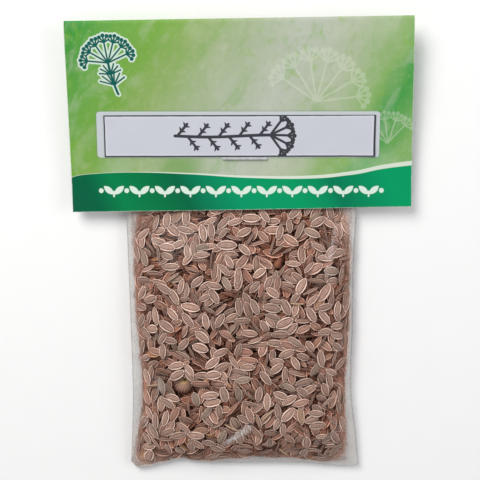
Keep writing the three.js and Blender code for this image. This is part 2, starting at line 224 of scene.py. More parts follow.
def make_object(name, points, faces, finishes, finish_of=None, attributes=None):
    """A closed, smooth shaded piece from points in millimetres, its faces turned outwards."""
    mesh = bpy.data.meshes.new(name)
    mesh.from_pydata((np.asarray(points) * MM).tolist(), [], faces)
    for finish in finishes:
        mesh.materials.append(finish)
    if finish_of is not None:
        mesh.polygons.foreach_set("material_index", finish_of)
    mesh.polygons.foreach_set("use_smooth", [True] * len(mesh.polygons))
    for label, values in (attributes or {}).items():
        kind = "FLOAT" if np.ndim(values) == 1 else "FLOAT_VECTOR"
        field = "value" if kind == "FLOAT" else "vector"
        layer = mesh.attributes.new(label, kind, "POINT")
        layer.data.foreach_set(field, np.asarray(values, np.float32).ravel())
    shell = bmesh.new()
    shell.from_mesh(mesh)
    bmesh.ops.recalc_face_normals(shell, faces=shell.faces)
    shell.to_mesh(mesh)
    shell.free()
    return place_object(name, mesh)


def crisp_edges(piece):
    """Marks the piece's real corners as sharp, so that only its bends shade softly."""
    softest = math.radians(40)
    shell = bmesh.new()
    shell.from_mesh(piece.data)
    for edge in shell.edges:
        edge.smooth = len(edge.link_faces) == 2 and edge.calc_face_angle() < softest
    shell.to_mesh(piece.data)
    shell.free()


def ride(piece, slot, *nodes):
    """Every piece is part of the one still body, and stands for the nodes that it is given."""
    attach(piece, "root")
    if nodes:
        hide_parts(*nodes)


# Small tools for node trees


class Wire:
    """A node's output; sums on it add Math nodes."""

    def __init__(self, tree, socket):
        self.tree = tree
        self.socket = socket

    def __abs__(self):
        return self.tree.maths("ABSOLUTE", self)

    def __gt__(self, other):
        return self.tree.maths("GREATER_THAN", self, other)

    def __lt__(self, other):
        return self.tree.maths("LESS_THAN", self, other)


def overload(method, operation):
    """Gives wires an operator and its reflected form."""

    def forward(self, other):
        return self.tree.maths(operation, self, other)

    def reflected(self, other):
        return self.tree.maths(operation, other, self)

    setattr(Wire, f"__{method}__", forward)
    setattr(Wire, f"__r{method}__", reflected)


overload("add", "ADD")
overload("sub", "SUBTRACT")
overload("mul", "MULTIPLY")
overload("truediv", "DIVIDE")
overload("pow", "POWER")


class Tree:
    """A node tree, with one way to add any node to it."""

    def __init__(self, tree):
        self.tree = tree

    def node(self, kind, settings=None, sockets=None, out=0):
        """Adds a node, sets it up, fills its sockets with values or wires, and gives one of its outputs."""
        made = self.tree.nodes.new(kind)
        for label, value in (settings or {}).items():
            if label == "stops":
                self.set_stops(made.color_ramp, value)
            elif label == "bends":
                self.set_bends(made.mapping, value)
            else:
                setattr(made, label, value)
        for key, value in (sockets or {}).items():
            if isinstance(value, Wire):
                self.tree.links.new(value.socket, made.inputs[key])
            else:
                made.inputs[key].default_value = value
        return Wire(self, made.outputs[out]) if made.outputs else made

    @staticmethod
    def set_stops(ramp, stops):
        while len(ramp.elements) < len(stops):
            ramp.elements.new(1)
        for element, (place, colour) in zip(ramp.elements, stops):
            element.position = place
            element.color = colour

    @staticmethod
    def set_bends(mapping, bends):
        mapping.extend = "HORIZONTAL"
        curve = mapping.curves[0]
        while len(curve.points) < len(bends):
            curve.points.new(0.5, 0.5)
        for point, place in zip(curve.points, bends):
            point.location = place
        mapping.update()

    def maths(self, operation, *values):
        return self.node("ShaderNodeMath", {"operation": operation}, dict(enumerate(values)))


class Finish(Tree):
    """A material and the patterns that it is painted with."""

    def __init__(self, name):
        self.material = bpy.data.materials.new(name)
        self.material.use_nodes = True
        super().__init__(self.material.node_tree)
        self.tree.nodes.clear()

    def scaled(self, vector, scale):
        return self.node("ShaderNodeVectorMath", {"operation": "SCALE"}, {0: vector, "Scale": scale})

    def place(self):
        """Where a point lies on the packet, in millimetres."""
        return self.scaled(self.node("ShaderNodeTexCoord", out="Object"), 1 / MM)

    def sheet_place(self):
        """Where a point lies across and up the flat sheet, in millimetres, and 1 on its front."""
        return self.split(self.scaled(self.attribute("sheet"), SHEET_SCALE))

    def attribute(self, name, out="Vector"):
        return self.node("ShaderNodeAttribute", {"attribute_name": name}, out=out)

    def split(self, vector):
        parts = self.node("ShaderNodeSeparateXYZ", sockets={0: vector})
        return [Wire(self, socket) for socket in parts.socket.node.outputs]

    def join(self, x, y, z=0.0):
        return self.node("ShaderNodeCombineXYZ", sockets={0: x, 1: y, 2: z})

    def noise(self, vector, size, detail=2.0, roughness=0.5, distortion=0.0):
        """Cloudy values about 0.5, with clouds about size across."""
        sockets = {"Vector": vector, "Scale": 1 / size, "Detail": detail, "Roughness": roughness}
        sockets["Distortion"] = distortion
        return self.node("ShaderNodeTexNoise", sockets=sockets)

    def step(self, value, low, high, start=0.0, end=1.0):
        """Goes smoothly from start at low to end at high."""
        settings = {"interpolation_type": "SMOOTHSTEP"}
        return self.node("ShaderNodeMapRange", settings, {0: value, 1: low, 2: high, 3: start, 4: end})

    def span(self, value, low, high, start=0.0, end=1.0):
        """Goes evenly from start at low to end at high."""
        return self.node("ShaderNodeMapRange", {"clamp": True}, {0: value, 1: low, 2: high, 3: start, 4: end})

    def mix(self, share, first, second, way="MIX"):
        first, second = (srgb(*side) if isinstance(side, tuple) else side for side in (first, second))
        settings = {"data_type": "RGBA", "blend_type": way, "clamp_factor": True}
        return self.node("ShaderNodeMix", settings, {0: share, 6: first, 7: second}, out=2)

    def painted(self, colour, *coats):
        """Lays coats over a colour in turn, each a share and a tone."""
        for share, tone in coats:
            colour = self.mix(share, colour, tone)
        return colour

    def ramp(self, value, low, high, stops):
        """A colour from the stops, whose places are given between low and high."""
        shares = [((place - low) / (high - low), srgb(*colour)) for place, colour in stops]
        return self.node("ShaderNodeValToRGB", {"stops": shares}, {0: self.span(value, low, high)})

    def greater(self, first, second):
        return self.maths("MAXIMUM", first, second)

    def lesser(self, first, second):
        return self.maths("MINIMUM", first, second)

    def distance(self, x, y):
        return self.maths("SQRT", x * x + y * y)

    def wrapped(self, value, half):
        """The value brought back between -half and half, so that a pattern repeats."""
        return self.maths("WRAP", value, half, -half)

    def bump(self, height, depth):
        """Relief of depth millimetres where height goes from 0 to 1."""
        sockets = {"Height": height, "Distance": depth * MM, "Strength": 1.0}
        return self.node("ShaderNodeBump", sockets=sockets)

    def surface(self, **values):
        """Ends the tree in a Principled surface; names stand for its sockets, with _ for a space."""
        sockets = {label.replace("_", " "): value for label, value in values.items()}
        shader = self.node("ShaderNodeBsdfPrincipled", sockets=sockets)
        self.node("ShaderNodeOutputMaterial", sockets={"Surface": shader})
        return self.material


# Camera, light and floor

CAMERA_DISTANCE = 320.0
CAMERA_TARGET = (-0.715, 3.501, 6.0)
CAMERA_TILT = math.radians(9.62)
CAMERA_ROLL = math.radians(-0.954)
CAMERA_LENS = 90.246


def set_camera():
    """Looks down on the packet from a little towards the fold, as the photograph does."""
    back = Vector((0, math.sin(CAMERA_TILT), math.cos(CAMERA_TILT)))
    level = (-back).cross(Vector((0, 1, 0))).normalized()
    upright = level.cross(-back)
    right = math.cos(CAMERA_ROLL) * level + math.sin(CAMERA_ROLL) * upright
    up = -math.sin(CAMERA_ROLL) * level + math.cos(CAMERA_ROLL) * upright
    data = bpy.data.cameras.new("camera")
    data.lens = CAMERA_LENS
    data.sensor_width = 36
    data.clip_start = 0.01
    data.clip_end = 10
    data.dof.use_dof = False
    camera = place_object("camera", data)
    spot = (Vector(CAMERA_TARGET) + back * CAMERA_DISTANCE) * MM
    facing = Matrix((right, up, back)).transposed().to_4x4()
    camera.matrix_world = Matrix.Translation(spot) @ facing
    bpy.context.scene.camera = camera


def add_light(name, place, target, size, watts, colour=(1, 1, 1)):
    """A square soft box that faces the target."""
    data = bpy.data.lights.new(name, "AREA")
    data.shape = "SQUARE"
    data.size = size
    data.energy = watts
    data.color = colour
    light = place_object(name, data)
    aim = Vector(place) - Vector(target)
    light.matrix_world = Matrix.Translation(place) @ aim.to_track_quat("Z", "Y").to_matrix().to_4x4()


def set_light():
    world = bpy.data.worlds.new("studio")
    world.use_nodes = True
    backdrop = world.node_tree.nodes["Background"]
    backdrop.inputs["Color"].default_value = (0.97, 0.98, 1.0, 1)
    backdrop.inputs["Strength"].default_value = 0.37
    bpy.context.scene.world = world
    add_light("key", (-0.22, 0.36, 0.48), (0, 0, 0), 0.32, 3.0, (1.0, 0.985, 0.96))
    add_light("fill", (0.45, 0.05, 0.42), (0, 0, 0), 0.35, 0.75, (0.97, 0.98, 1.0))
    bpy.context.scene.view_settings.view_transform = "Standard"
    bpy.context.scene.view_settings.look = "None"


def floor_finish():
    f = Finish("pale floor")
    grain = f.noise(f.place(), 9.0, detail=3)
    colour = f.mix(grain, (255, 255, 255), (252, 252, 252))
    return f.surface(Base_Color=colour, Roughness=0.6, Specular_IOR_Level=0.2)


def lay_floor():
    half = 900
    thick = 4
    top = -0.02
    corners = [(x * half, y * half, z) for z in (top, top - thick) for y in (-1, 1) for x in (-1, 1)]
    faces = [(0, 1, 3, 2), (4, 6, 7, 5), (0, 4, 5, 1), (1, 5, 7, 3), (3, 7, 6, 2), (2, 6, 4, 0)]
    floor = make_object("floor", corners, faces, [floor_finish()])
    floor.data.polygons.foreach_set("use_smooth", [False] * len(faces))


# The bag's form

left_edge = through((-30, -30.9), (15, -31), (41, -30.75), (64, -30.75), (75, -31.3), (85, -32))
right_edge = through((-30, 30.8), (15, 30.55), (30, 29.75), (48, 29.4), (64, 29.0), (76, 30.3), (86, 31.2))
bottom_edge = through(
    (-32, 84.2), (-30, 86.1), (-18.8, 84.0), (-12.9, 84.8), (14.3, 85.4), (21.9, 86.1), (29.8, 86.8),
    (31.3, 86.2),
)
left_margin = through((-30, 1), (5, 0.9), (15, 1.0), (40, 1.1), (64, 2.2), (76, 1.0), (84, 0))
right_margin = through((-30, 1), (5, 0.8), (15, 0.9), (40, 0.4), (64, 1.2), (84, 2.6))
bottom_margin = through((-32, 0), (-20, 0.1), (-9, 0.2), (-2, 1.0), (12, 1.1), (20, 0.5), (31, 1.8))
seam_height = through((10, 3), (30, 3.3), (50, 3.7), (70, 3.1), (87, 2.1))


def fill_reach(x, down):
    """The left, right and lower edges of the part of the bag that holds seed."""
    left = left_edge(down) + left_margin(down)
    right = right_edge(down) - right_margin(down)
    return left, right, bottom_edge(x) - bottom_margin(x)


def film_faces(x, down):
    """Heights of the back film and of the front film, on the seeds' side."""
    left, right, bottom = fill_reach(x, down)
    across = np.abs(np.clip((x - left) / (right - left) * 2 - 1, -1, 1))
    end = np.clip((bottom - down) / END_LENGTH, 0, 1)
    swell = (1 - across**PILLOW_POWER) * (1 - (1 - end) ** END_POWER)
    slit = SLIT_HALF * np.minimum(1, np.minimum(5 * (1 - across), 20 * end))
    neck = NECK_HEIGHT - down * math.tan(CARD_RISE)
    seam = lerp(neck, seam_height(down), smoothstep(down, *NECK_LEAVES))
    rise = (BAG_TOP - FILM_ROOM - seam) * swell * smoothstep(down, *FRONT_SWELLS)
    drop = BACK_PRESS * seam * swell * smoothstep(down, *BACK_SWELLS)
    return np.maximum(FILM_ROOM, seam - slit - drop), seam + slit + rise


# The seeds: one oval, ribbed shape in a few bends

RIM = 1.0
SECTION = (
    (-RIM, -0.34), (-0.7, -0.2), (-0.42, 0.68), (0, 1), (0.42, 0.68), (0.7, -0.2), (RIM, -0.34),
    (0.66, -0.3), (0, -0.1), (-0.66, -0.3),
)
BACK_POINTS = 7
STATIONS = (-0.86, -0.5, 0.0, 0.5, 0.86)
BENDS = (0.0, 0.55, -0.4, 0.25)


def seed_shape(name, bend, skew):
    """A seed one unit long, wide and thick.

    Its place attribute says across, along, and 1 on the ribbed back or -1 on the flat face.
    """
    points = [(-0.5, 0, -bend * 0.5)]
    places = [(0, -1, 0)]
    for station in STATIONS:
        outline = (1 - abs(station) ** 2.2) ** 0.7
        height = outline**0.7
        lift = -bend * 0.5 * station**2
        for index, (across, up) in enumerate(SECTION):
            points.append((station / 2, across * outline / 2 + skew * station**2, up * height / 2 + lift))
            side = 0 if abs(across) == RIM else (1 if index < BACK_POINTS else -1)
            places.append((across, station, side))
    points.append((0.5, 0, -bend * 0.5))
    places.append((0, 1, 0))
    faces = ball_faces(len(STATIONS), len(SECTION), 1, (0, len(points) - 1))
    shape = make_object(name, np.array(points) / MM, faces, [], attributes={"place": np.array(places, float)})
    on_rim = [abs(across) == RIM or abs(along) == 1 for across, along, _ in places]
    for edge in shape.data.edges:
        edge.use_edge_sharp = all(on_rim[corner] for corner in edge.vertices)
    bpy.context.scene.collection.objects.unlink(shape)
    return shape


class Heap:
    """The room left for seeds between the two films, as heights on a fine grid."""

    PITCH = 0.25
    HALF_WIDTH = 33.0
    LOW_Y = -63.0
    TOP_Y = 15.5
    CLOSED = -1e3
    FEWEST_CELLS = 12
    PICKS = 60
    NUDGE = 0.7
    TURN_SPREAD = 0.3
    TIRES = 0.35
    PLUG_TRIES = 14
    PLUG_NUDGE = 0.9
    PLUG_TURN_SPREAD = 0.5

    def __init__(self, rng):
        self.rng = rng
        self.xs = np.arange(-self.HALF_WIDTH, self.HALF_WIDTH, self.PITCH)
        self.ys = np.arange(self.LOW_Y, self.TOP_Y + 3.0, self.PITCH)
        x, y = np.meshgrid(self.xs, self.ys)
        down = STAPLE_LINE - y
        left, right, bottom = fill_reach(x, down)
        ragged = 0.15 + 0.3 * ripples(x, y, rng, 3.0)
        open_ = (x > left + ragged) & (x < right - ragged) & (down < bottom - ragged)
        open_ &= y < self.TOP_Y + 1.5 * ripples(x, y * 0, rng, 6.0) - 0.6
        back, front = film_faces(x, down)
        self.film = {1: np.where(open_, front, self.CLOSED), -1: np.where(open_, -back, self.CLOSED)}
        self.room = {side: heights.copy() for side, heights in self.film.items()}
        self.cells = np.argwhere(open_)
        self.tired = {side: np.zeros_like(front) for side in (1, -1)}
        heading = math.pi * ripples(x, y, rng, 5.5)
        beside = smoothstep(np.minimum(x - left, right - x), 4.5, 1.5)
        heading = lerp(heading, math.pi / 2 + 0.5 * ripples(x, y, rng, 3.0), beside)
        at_bottom = smoothstep(bottom - down, 3.5, 1.0)
        self.heading = lerp(heading, 0.35 * ripples(x, y, rng, 3.0), at_bottom)
        self.laid = []

    def window(self, x, y, reach):
        columns = slice(*np.clip(np.searchsorted(self.xs, (x - reach, x + reach)), 0, len(self.xs)))
        rows = slice(*np.clip(np.searchsorted(self.ys, (y - reach, y + reach)), 0, len(self.ys)))
        return rows, columns

    def is_closed(self, heights):
        return heights.min() < self.CLOSED / 2

    def footprint(self, x, y, yaw, half, share):
        """The cells about a lying seed, how far off they are, which of them lie under it, and where."""
        window = self.window(x, y, half[0] + self.PITCH)
        dx = self.xs[window[1]][None, :] - x
        dy = self.ys[window[0]][:, None] - y
        along, across = swung(dx, dy, yaw)
        under = (along / half[0]) ** 2 + (across / half[1]) ** 2 < share
        return window, dx, dy, under, along[under], across[under]

    def rest(self, side, x, y, yaw, roll, pitch, half):
        """Presses one seed towards the film at x, y. Says how it comes to rest, or None without room."""
        window, dx, dy, under, along, across = self.footprint(x, y, yaw, half, share=0.8)
        room = self.room[side][window]
        if not under.any() or self.is_closed(room[under]):
            return None
        axes = self.axes(yaw, *self.lean(along, across, room[under]), roll, pitch)
        form = sum(np.outer(axis, axis) / h**2 for axis, h in zip(axes, half))
        linear = form[0, 2] * dx + form[1, 2] * dy
        constant = form[0, 0] * dx**2 + 2 * form[0, 1] * dx * dy + form[1, 1] * dy**2 - 1
        inside = linear**2 - form[2, 2] * constant
        covered = inside > 0
        if covered.sum() < self.FEWEST_CELLS:
            return None
        thick = np.sqrt(inside[covered]) / form[2, 2]
        middle = -linear[covered] / form[2, 2]
        height = (room[covered] - middle - thick).min()
        floor = height + middle - thick
        if self.is_closed(height) or (floor < -self.room[-side][window][covered]).any():
            return None
        depth = self.film[side][window][covered] - (height + middle + thick)
        return {
            "score": depth.mean() + 0.7 * depth.min(),
            "deep": depth.mean(),
            "cells": (window, covered, floor),
            "place": (x, y, height),
            "axes": axes,
        }

    @staticmethod
    def lean(along, across, heights):
        """Slopes of the surface that the seed is pressed against, along it and across it."""
        a = along - along.mean()
        c = across - across.mean()
        h = heights - heights.mean()
        steepest = 0.75
        return (
            float(np.clip((a * h).sum() / max((a * a).sum(), 1e-6), -steepest, steepest)),
            float(np.clip((c * h).sum() / max((c * c).sum(), 1e-6), -steepest, steepest)),
        )

    @staticmethod
    def axes(yaw, lean_along, lean_across, roll, pitch):
        """The seed's long, wide and thick directions."""
        ahead = np.array((math.cos(yaw), math.sin(yaw), lean_along + math.tan(pitch)))
        aside = np.array((-math.sin(yaw), math.cos(yaw), lean_across))
        ahead /= np.linalg.norm(ahead)
        up = np.cross(ahead, aside)
        up /= np.linalg.norm(up)
        aside = np.cross(up, ahead)
        return (
            ahead,
            aside * math.cos(roll) + up * math.sin(roll),
            up * math.cos(roll) - aside * math.sin(roll),
        )

    def lay(self, side, half, roll, pitch, kind, tries=8):
        """Lays one seed where the heap is still thin, the best way of a few."""
        rng = self.rng
        picks = self.cells[rng.integers(len(self.cells), size=self.PICKS)]
        depth = self.film[side] - self.room[side] + self.tired[side]
        luck = rng.uniform(0, self.TIRES, self.PICKS)
        row, column = picks[np.argmin(depth[picks[:, 0], picks[:, 1]] + luck)]
        best = None
        for _ in range(tries):
            x = self.xs[column] + rng.normal(0, self.NUDGE)
            y = self.ys[row] + rng.normal(0, self.NUDGE)
            yaw = rng.uniform(0, math.pi)
            if rng.random() < PARALLEL_SHARE:
                yaw = self.heading[row, column] + rng.normal(0, self.TURN_SPREAD)
            found = self.rest(side, x, y, yaw, roll, pitch, half)
            if found and (best is None or found["score"] < best["score"]):
                best = found
        if best:
            self.take(side, best, half, kind)
        else:
            self.tired[side][self.window(self.xs[column], self.ys[row], 0.6)] += self.TIRES

    def take(self, side, found, half, kind):
        window, covered, floor = found["cells"]
        patch = self.room[side][window]
        patch[covered] = np.minimum(patch[covered], floor)
        flip = np.array((1, 1, side))
        self.keep(kind, side, found["place"] * flip, found["axes"] * flip, half, found["deep"])

    def keep(self, kind, side, place, axes, half, deep):
        seed = {"kind": kind, "side": side, "place": place, "axes": axes, "half": half, "deep": float(deep)}
        self.laid.append(seed)

    def plug(self, count):
        """Lays flat seeds midway between the films, where the eye would pass between those laid so far."""
        bare = self.film[1] > self.CLOSED
        for side in (1, -1):
            bare &= self.film[side] - self.room[side] < 1e-6
        middle = (self.film[1] - self.film[-1]) / 2
        gap = self.film[1] + self.film[-1]
        for _ in range(count):
            holes = np.argwhere(bare)
            if not len(holes):
                return
            row, column = holes[self.rng.integers(len(holes))]
            half, _, _ = draw_seed(self.rng)
            best = None
            for _ in range(self.PLUG_TRIES):
                x = self.xs[column] + self.rng.normal(0, self.PLUG_NUDGE)
                y = self.ys[row] + self.rng.normal(0, self.PLUG_NUDGE)
                yaw = self.heading[row, column] + self.rng.normal(0, self.PLUG_TURN_SPREAD)
                window, _, _, under, along, across = self.footprint(x, y, yaw, half, share=0.9)
                if not under.any() or self.is_closed(self.film[1][window][under]):
                    continue
                gain = (bare[window] & under).sum()
                if best is None or gain > best[0]:
                    best = (gain, x, y, yaw, window, under, along, across)
            bare[row, column] = False
            if best is None:
                continue
            _, x, y, yaw, window, under, along, across = best
            bare[window] &= ~under
            levels = middle[window][under]
            thin = min(half[2], max(0.12, 0.45 * gap[window][under].min()))
            axes = self.axes(yaw, *self.lean(along, across, levels), 0, 0)
            height = levels.mean()
            deep = (self.film[1][window][under] - height).mean()
            self.keep("seed", 1, (x, y, height), axes, (half[0], half[1], thin), deep)

    def block(self, x, y, z, radius):
        """Keeps a ball's place free."""
        window, dx, dy, *_ = self.footprint(x, y, 0, (radius, radius), share=1)
        off = dx**2 + dy**2
        patch = self.room[1][window]
        inside = off < radius**2
        patch[inside] = np.minimum(patch[inside], z - np.sqrt(radius**2 - off[inside]))


FRONT_TRIES = 4300
BACK_TRIES = 2900
STALKS = 5
PLUGS = 420
FLAT_SHARE = 0.43
TILTED_SHARE = 0.41
PARALLEL_SHARE = 0.55
HEAP_MIDDLE = -22.0
ROUND_SEED_SINKS = 0.25
HEAP_RANDOM_SEED = 41


def draw_seed(rng):
    """Half sizes, roll and pitch of a seed: most lie flat on the film, some tilted, a few on edge."""
    size = np.clip(rng.normal(1, 0.1), 0.78, 1.2)
    half = (
        SEED_LENGTH / 2 * size,
        SEED_WIDTH / 2 * size * np.clip(rng.normal(1, 0.1), 0.78, 1.2),
        SEED_THICKNESS / 2 * np.clip(rng.normal(1, 0.1), 0.8, 1.2),
    )
    luck = rng.random()
    if luck < FLAT_SHARE:
        roll = rng.normal(0, math.radians(9))
    elif luck < FLAT_SHARE + TILTED_SHARE:
        roll = rng.normal(0, math.radians(33))
    else:
        roll = rng.choice((-1, 1)) * rng.uniform(math.radians(50), math.radians(85))
    pitch = rng.normal(0, math.radians(5 if rng.random() < 0.6 else 15))
    return half, roll, pitch


def fill_heap(rng):
    """Fills the bag from its front film inwards, then from its back film."""
    heap = Heap(rng)
    low, high = (np.array(corner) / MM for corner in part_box("stray_round_seed"))
    middle = (low + high) / 2
    heap.block(*middle, (high - low).max() / 2 - ROUND_SEED_SINKS)
    for _ in range(STALKS):
        heap.lay(1, (rng.uniform(1.7, 3.0), 0.27, 0.27), 0, rng.normal(0, 0.05), "stalk", tries=20)
    for side, tries in ((1, FRONT_TRIES), (-1, BACK_TRIES)):
        for _ in range(tries):
            heap.lay(side, *draw_seed(rng), "seed")
    heap.plug(PLUGS)
    return heap


def spreading_tree(finish):
    """A tree that sets a seed on every point, turned and sized as the point says, each with its own tint."""
    group = bpy.data.node_groups.new("spread seeds", "GeometryNodeTree")
    group.is_modifier = True
    ports = (
        ("Geometry", "INPUT", "Geometry"), ("Length", "INPUT", "Float"), ("Width", "INPUT", "Float"),
        ("Thickness", "INPUT", "Float"), ("Shapes", "INPUT", "Collection"), ("Random seed", "INPUT", "Int"),
        ("Geometry", "OUTPUT", "Geometry"),
    )
    for label, way, kind in ports:
        group.interface.new_socket(label, in_out=way, socket_type=f"NodeSocket{kind}")
    t = Tree(group)
    entry = t.node("NodeGroupInput")
    given = {socket.name: Wire(t, socket) for socket in entry.socket.node.outputs if socket.name}

    def named(label, kind):
        return t.node("GeometryNodeInputNamedAttribute", {"data_type": kind}, {"Name": label})

    sides = {0: given["Length"], 1: given["Width"], 2: given["Thickness"]}
    full = t.node("ShaderNodeCombineXYZ", sockets=sides)
    size = named("size", "FLOAT_VECTOR")
    own = t.node("ShaderNodeVectorMath", {"operation": "MULTIPLY"}, {0: full, 1: size})
    turn = t.node("FunctionNodeEulerToRotation", sockets={0: named("turn", "FLOAT_VECTOR")})
    choice = {"Collection": given["Shapes"], "Separate Children": True}
    shapes = t.node("GeometryNodeCollectionInfo", sockets=choice)
    spread = t.node(
        "GeometryNodeInstanceOnPoints",
        sockets={
            "Points": given["Geometry"], "Instance": shapes, "Pick Instance": True,
            "Instance Index": named("shape", "INT"), "Rotation": turn, "Scale": own,
        },
    )
    tint = t.node("FunctionNodeRandomValue", {"data_type": "FLOAT_VECTOR"}, {"Seed": given["Random seed"]})
    tinted = t.node(
        "GeometryNodeStoreNamedAttribute",
        {"data_type": "FLOAT_VECTOR", "domain": "INSTANCE"},
        {"Geometry": spread, "Name": "tint", "Value": tint},
    )
    real = t.node("GeometryNodeRealizeInstances", sockets={"Geometry": tinted})
    dressed = t.node("GeometryNodeSetMaterial", sockets={"Geometry": real, "Material": finish})
    t.node("NodeGroupOutput", sockets={"Geometry": dressed})
    return group


def spread_seeds(name, tree, shapes, laid, random_seed, rng):
    """One mesh of the seeds laid in one part of the heap."""
    points = bpy.data.meshes.new(name)
    points.from_pydata([tuple(c * MM for c in seed["place"]) for seed in laid], [], [])
    full = np.array((SEED_LENGTH, SEED_WIDTH, SEED_THICKNESS))
    turns = []
    sizes = []
    for seed in laid:
        long_, wide, thick = (Vector(axis) for axis in seed["axes"])
        if rng.random() < 0.5:
            long_ = -long_
        if rng.random() < 0.55 and thick.z * seed["side"] < 0:
            thick = -thick
        wide = thick.cross(long_)
        turns.append(tuple(Matrix((long_, wide, thick)).transposed().to_euler()))
        sizes.append(tuple(np.array(seed["half"]) * 2 / full))
    fields = (
        ("turn", "FLOAT_VECTOR", "vector", np.array(turns, np.float32).ravel()),
        ("size", "FLOAT_VECTOR", "vector", np.array(sizes, np.float32).ravel()),
        ("shape", "INT", "value", rng.integers(len(BENDS), size=len(laid)).astype(np.int32)),
        ("deep", "FLOAT", "value", np.array([seed["deep"] for seed in laid], np.float32)),
    )
    for label, kind, field, values in fields:
        points.attributes.new(label, kind, "POINT").data.foreach_set(field, values)
    piece = place_object(name, points)
    modifier = piece.modifiers.new("spread", "NODES")
    modifier.node_group = tree
    values = {
        "Length": SEED_LENGTH * MM, "Width": SEED_WIDTH * MM, "Thickness": SEED_THICKNESS * MM,
        "Shapes": shapes, "Random seed": random_seed,
    }
    for socket in tree.interface.items_tree:
        if socket.in_out == "INPUT" and socket.name in values:
            modifier[socket.identifier] = values[socket.name]
    mesh = apply_modifier(piece, modifier)
    mesh.name = name
    for label in ("turn", "size", "shape"):
        if label in mesh.attributes:
            mesh.attributes.remove(mesh.attributes[label])
    mesh.polygons.foreach_set("use_smooth", [True] * len(mesh.polygons))
    return piece


def seed_finish():
    """Dried dill seed: a pale rim round a brown back with fine ribs, or round a darker, hollow face."""
    f = Finish("dried dill seed")
    across, along, side = f.split(f.attribute("place"))
    light, red, grey = f.split(f.attribute("tint"))
    deep = f.span(f.attribute("deep", out="Fac"), 0.5, 2.6)
    cloud = f.noise(f.place(), 0.8, detail=3, roughness=0.6)
    fibres = f.noise(f.join(across * 9, along * 2.2, light * 40), 1.0, detail=2)
    away = abs(across)
    out = f.greater(away, abs(along) ** 2.4) + (cloud - 0.5) * 0.1
    back = f.step(side, -0.4, 0.4)
    wing = 0.62 + back * 0.05
    rim = f.step(out - wing, 0.0, 0.09)
    hollow = f.step(out - wing, -0.24, -0.06) * (1 - rim)
    rib = f.step(f.lesser(away, abs(away - 0.36)) + (fibres - 0.5) * 0.06, 0.11, 0.03) * (1 - rim)
    stripe = f.step(abs(away - 0.26), 0.13, 0.05) * (1 - back) * (1 - rim)
    face = f.mix(f.step(cloud, 0.3, 0.7), (110, 80, 68), (146, 112, 98))
    body = f.mix(f.step(cloud, 0.3, 0.7), (132, 100, 88), (168, 133, 118))
    brown = f.painted(
        f.mix(back, face, body),
        (f.step(fibres, 0.42, 0.68) * 0.35, (192, 158, 142)),
        (hollow * 0.65, (92, 64, 54)),
        (rib * (0.45 + back * 0.15), (212, 178, 160)),
        (stripe * 0.5, (92, 64, 54)),
        (rim * 0.95, (240, 208, 192)),
        (f.step(red, 0.9, 1.0) * 0.4, (164, 96, 74)),
        (f.step(grey, 0.86, 1.0) * 0.45, (124, 118, 102)),
        (f.step(grey, 0.02, 0.012) * 0.5, (204, 160, 104)),
    )
    # Seeds that lie deeper below the film are painted darker and redder: painted shade of the crevices in the
    # heap.
    brown = f.mix(deep, brown, f.mix(1.0, brown, (250, 214, 198), "MULTIPLY"))
    level = f.span(light, 0, 1, 0.79, 1.19)
    shade = f.mix(1.0, brown, f.join(level, level, level), "MULTIPLY")
    relief = rib * 0.4 + rim + fibres * 0.25
    return f.surface(
        Base_Color=shade, Roughness=f.span(cloud, 0.3, 0.7, 0.55, 0.75), Specular_IOR_Level=0.25,
        Normal=f.bump(relief, 0.11),
    )


def stalk_finish():
    f = Finish("dry stalk")
    grain = f.noise(f.place(), 0.6, detail=3)
    colour = f.mix(grain, (176, 146, 116), (212, 184, 152))
    return f.surface(Base_Color=colour, Roughness=0.6, Normal=f.bump(grain, 0.05))


def stalk_bits(laid, rng):
    """Short bits of dry stalk among the seeds, each a slightly bent, knobbly stick."""
    points = []
    faces = []
    rings = 9
    sides = 7
    for bit in laid:
        long_, wide, thick = (np.array(axis) for axis in bit["axes"])
        centre = np.array(bit["place"])
        start = len(points)
        bow = rng.uniform(-0.35, 0.35)
        for ring in range(rings):
            share = ring / (rings - 1) * 2 - 1
            girth = bit["half"][1] * (0.72 + 0.1 * math.cos(share * 9 + bow * 20)) * (1 - 0.75 * share**8)
            spine = centre + long_ * bit["half"][0] * share + wide * bow * (share**2 - 0.5)
            for corner in range(sides):
                turn = math.tau * corner / sides
                points.append(spine + girth * (wide * math.cos(turn) + thick * math.sin(turn)))
        faces += grid_faces(rings, sides, start=start, wrap=True)
        faces.append(tuple(range(start, start + sides)))
        faces.append(tuple(range(start + (rings - 1) * sides, start + rings * sides)))
    return make_object("stalk_bits", points, faces, [stalk_finish()])


def make_seeds():
    rng = np.random.default_rng(HEAP_RANDOM_SEED)
    heap = fill_heap(rng)
    shapes = bpy.data.collections.new("seed shapes")
    for index, bend in enumerate(BENDS):
        shapes.objects.link(seed_shape(f"seed_shape_{index}", bend, 0.03 * (index - 1)))
    tree = spreading_tree(seed_finish())
    seeds = [seed for seed in heap.laid if seed["kind"] == "seed"]
    front = [seed for seed in seeds if seed["side"] > 0]
    layers = (
        ("dill_seed_front_upper", [seed for seed in front if seed["place"][1] >= HEAP_MIDDLE], 3),
        ("dill_seed_front_lower", [seed for seed in front if seed["place"][1] < HEAP_MIDDLE], 5),
        ("dill_seed_back", [seed for seed in seeds if seed["side"] < 0], 8),
    )
    for name, laid, random_seed in layers:
        ride(spread_seeds(name, tree, shapes, laid, random_seed, rng), "dill_seed", "seed_fill")
    ride(stalk_bits([bit for bit in heap.laid if bit["kind"] == "stalk"], rng), "dill_seed")
    for shape in list(shapes.objects):
        bpy.data.objects.remove(shape)
    bpy.data.collections.remove(shapes)


# The stray round seed

ROUND_RIBS = 22
ROUND_POLE = (0.25, 0.6, 0.76)


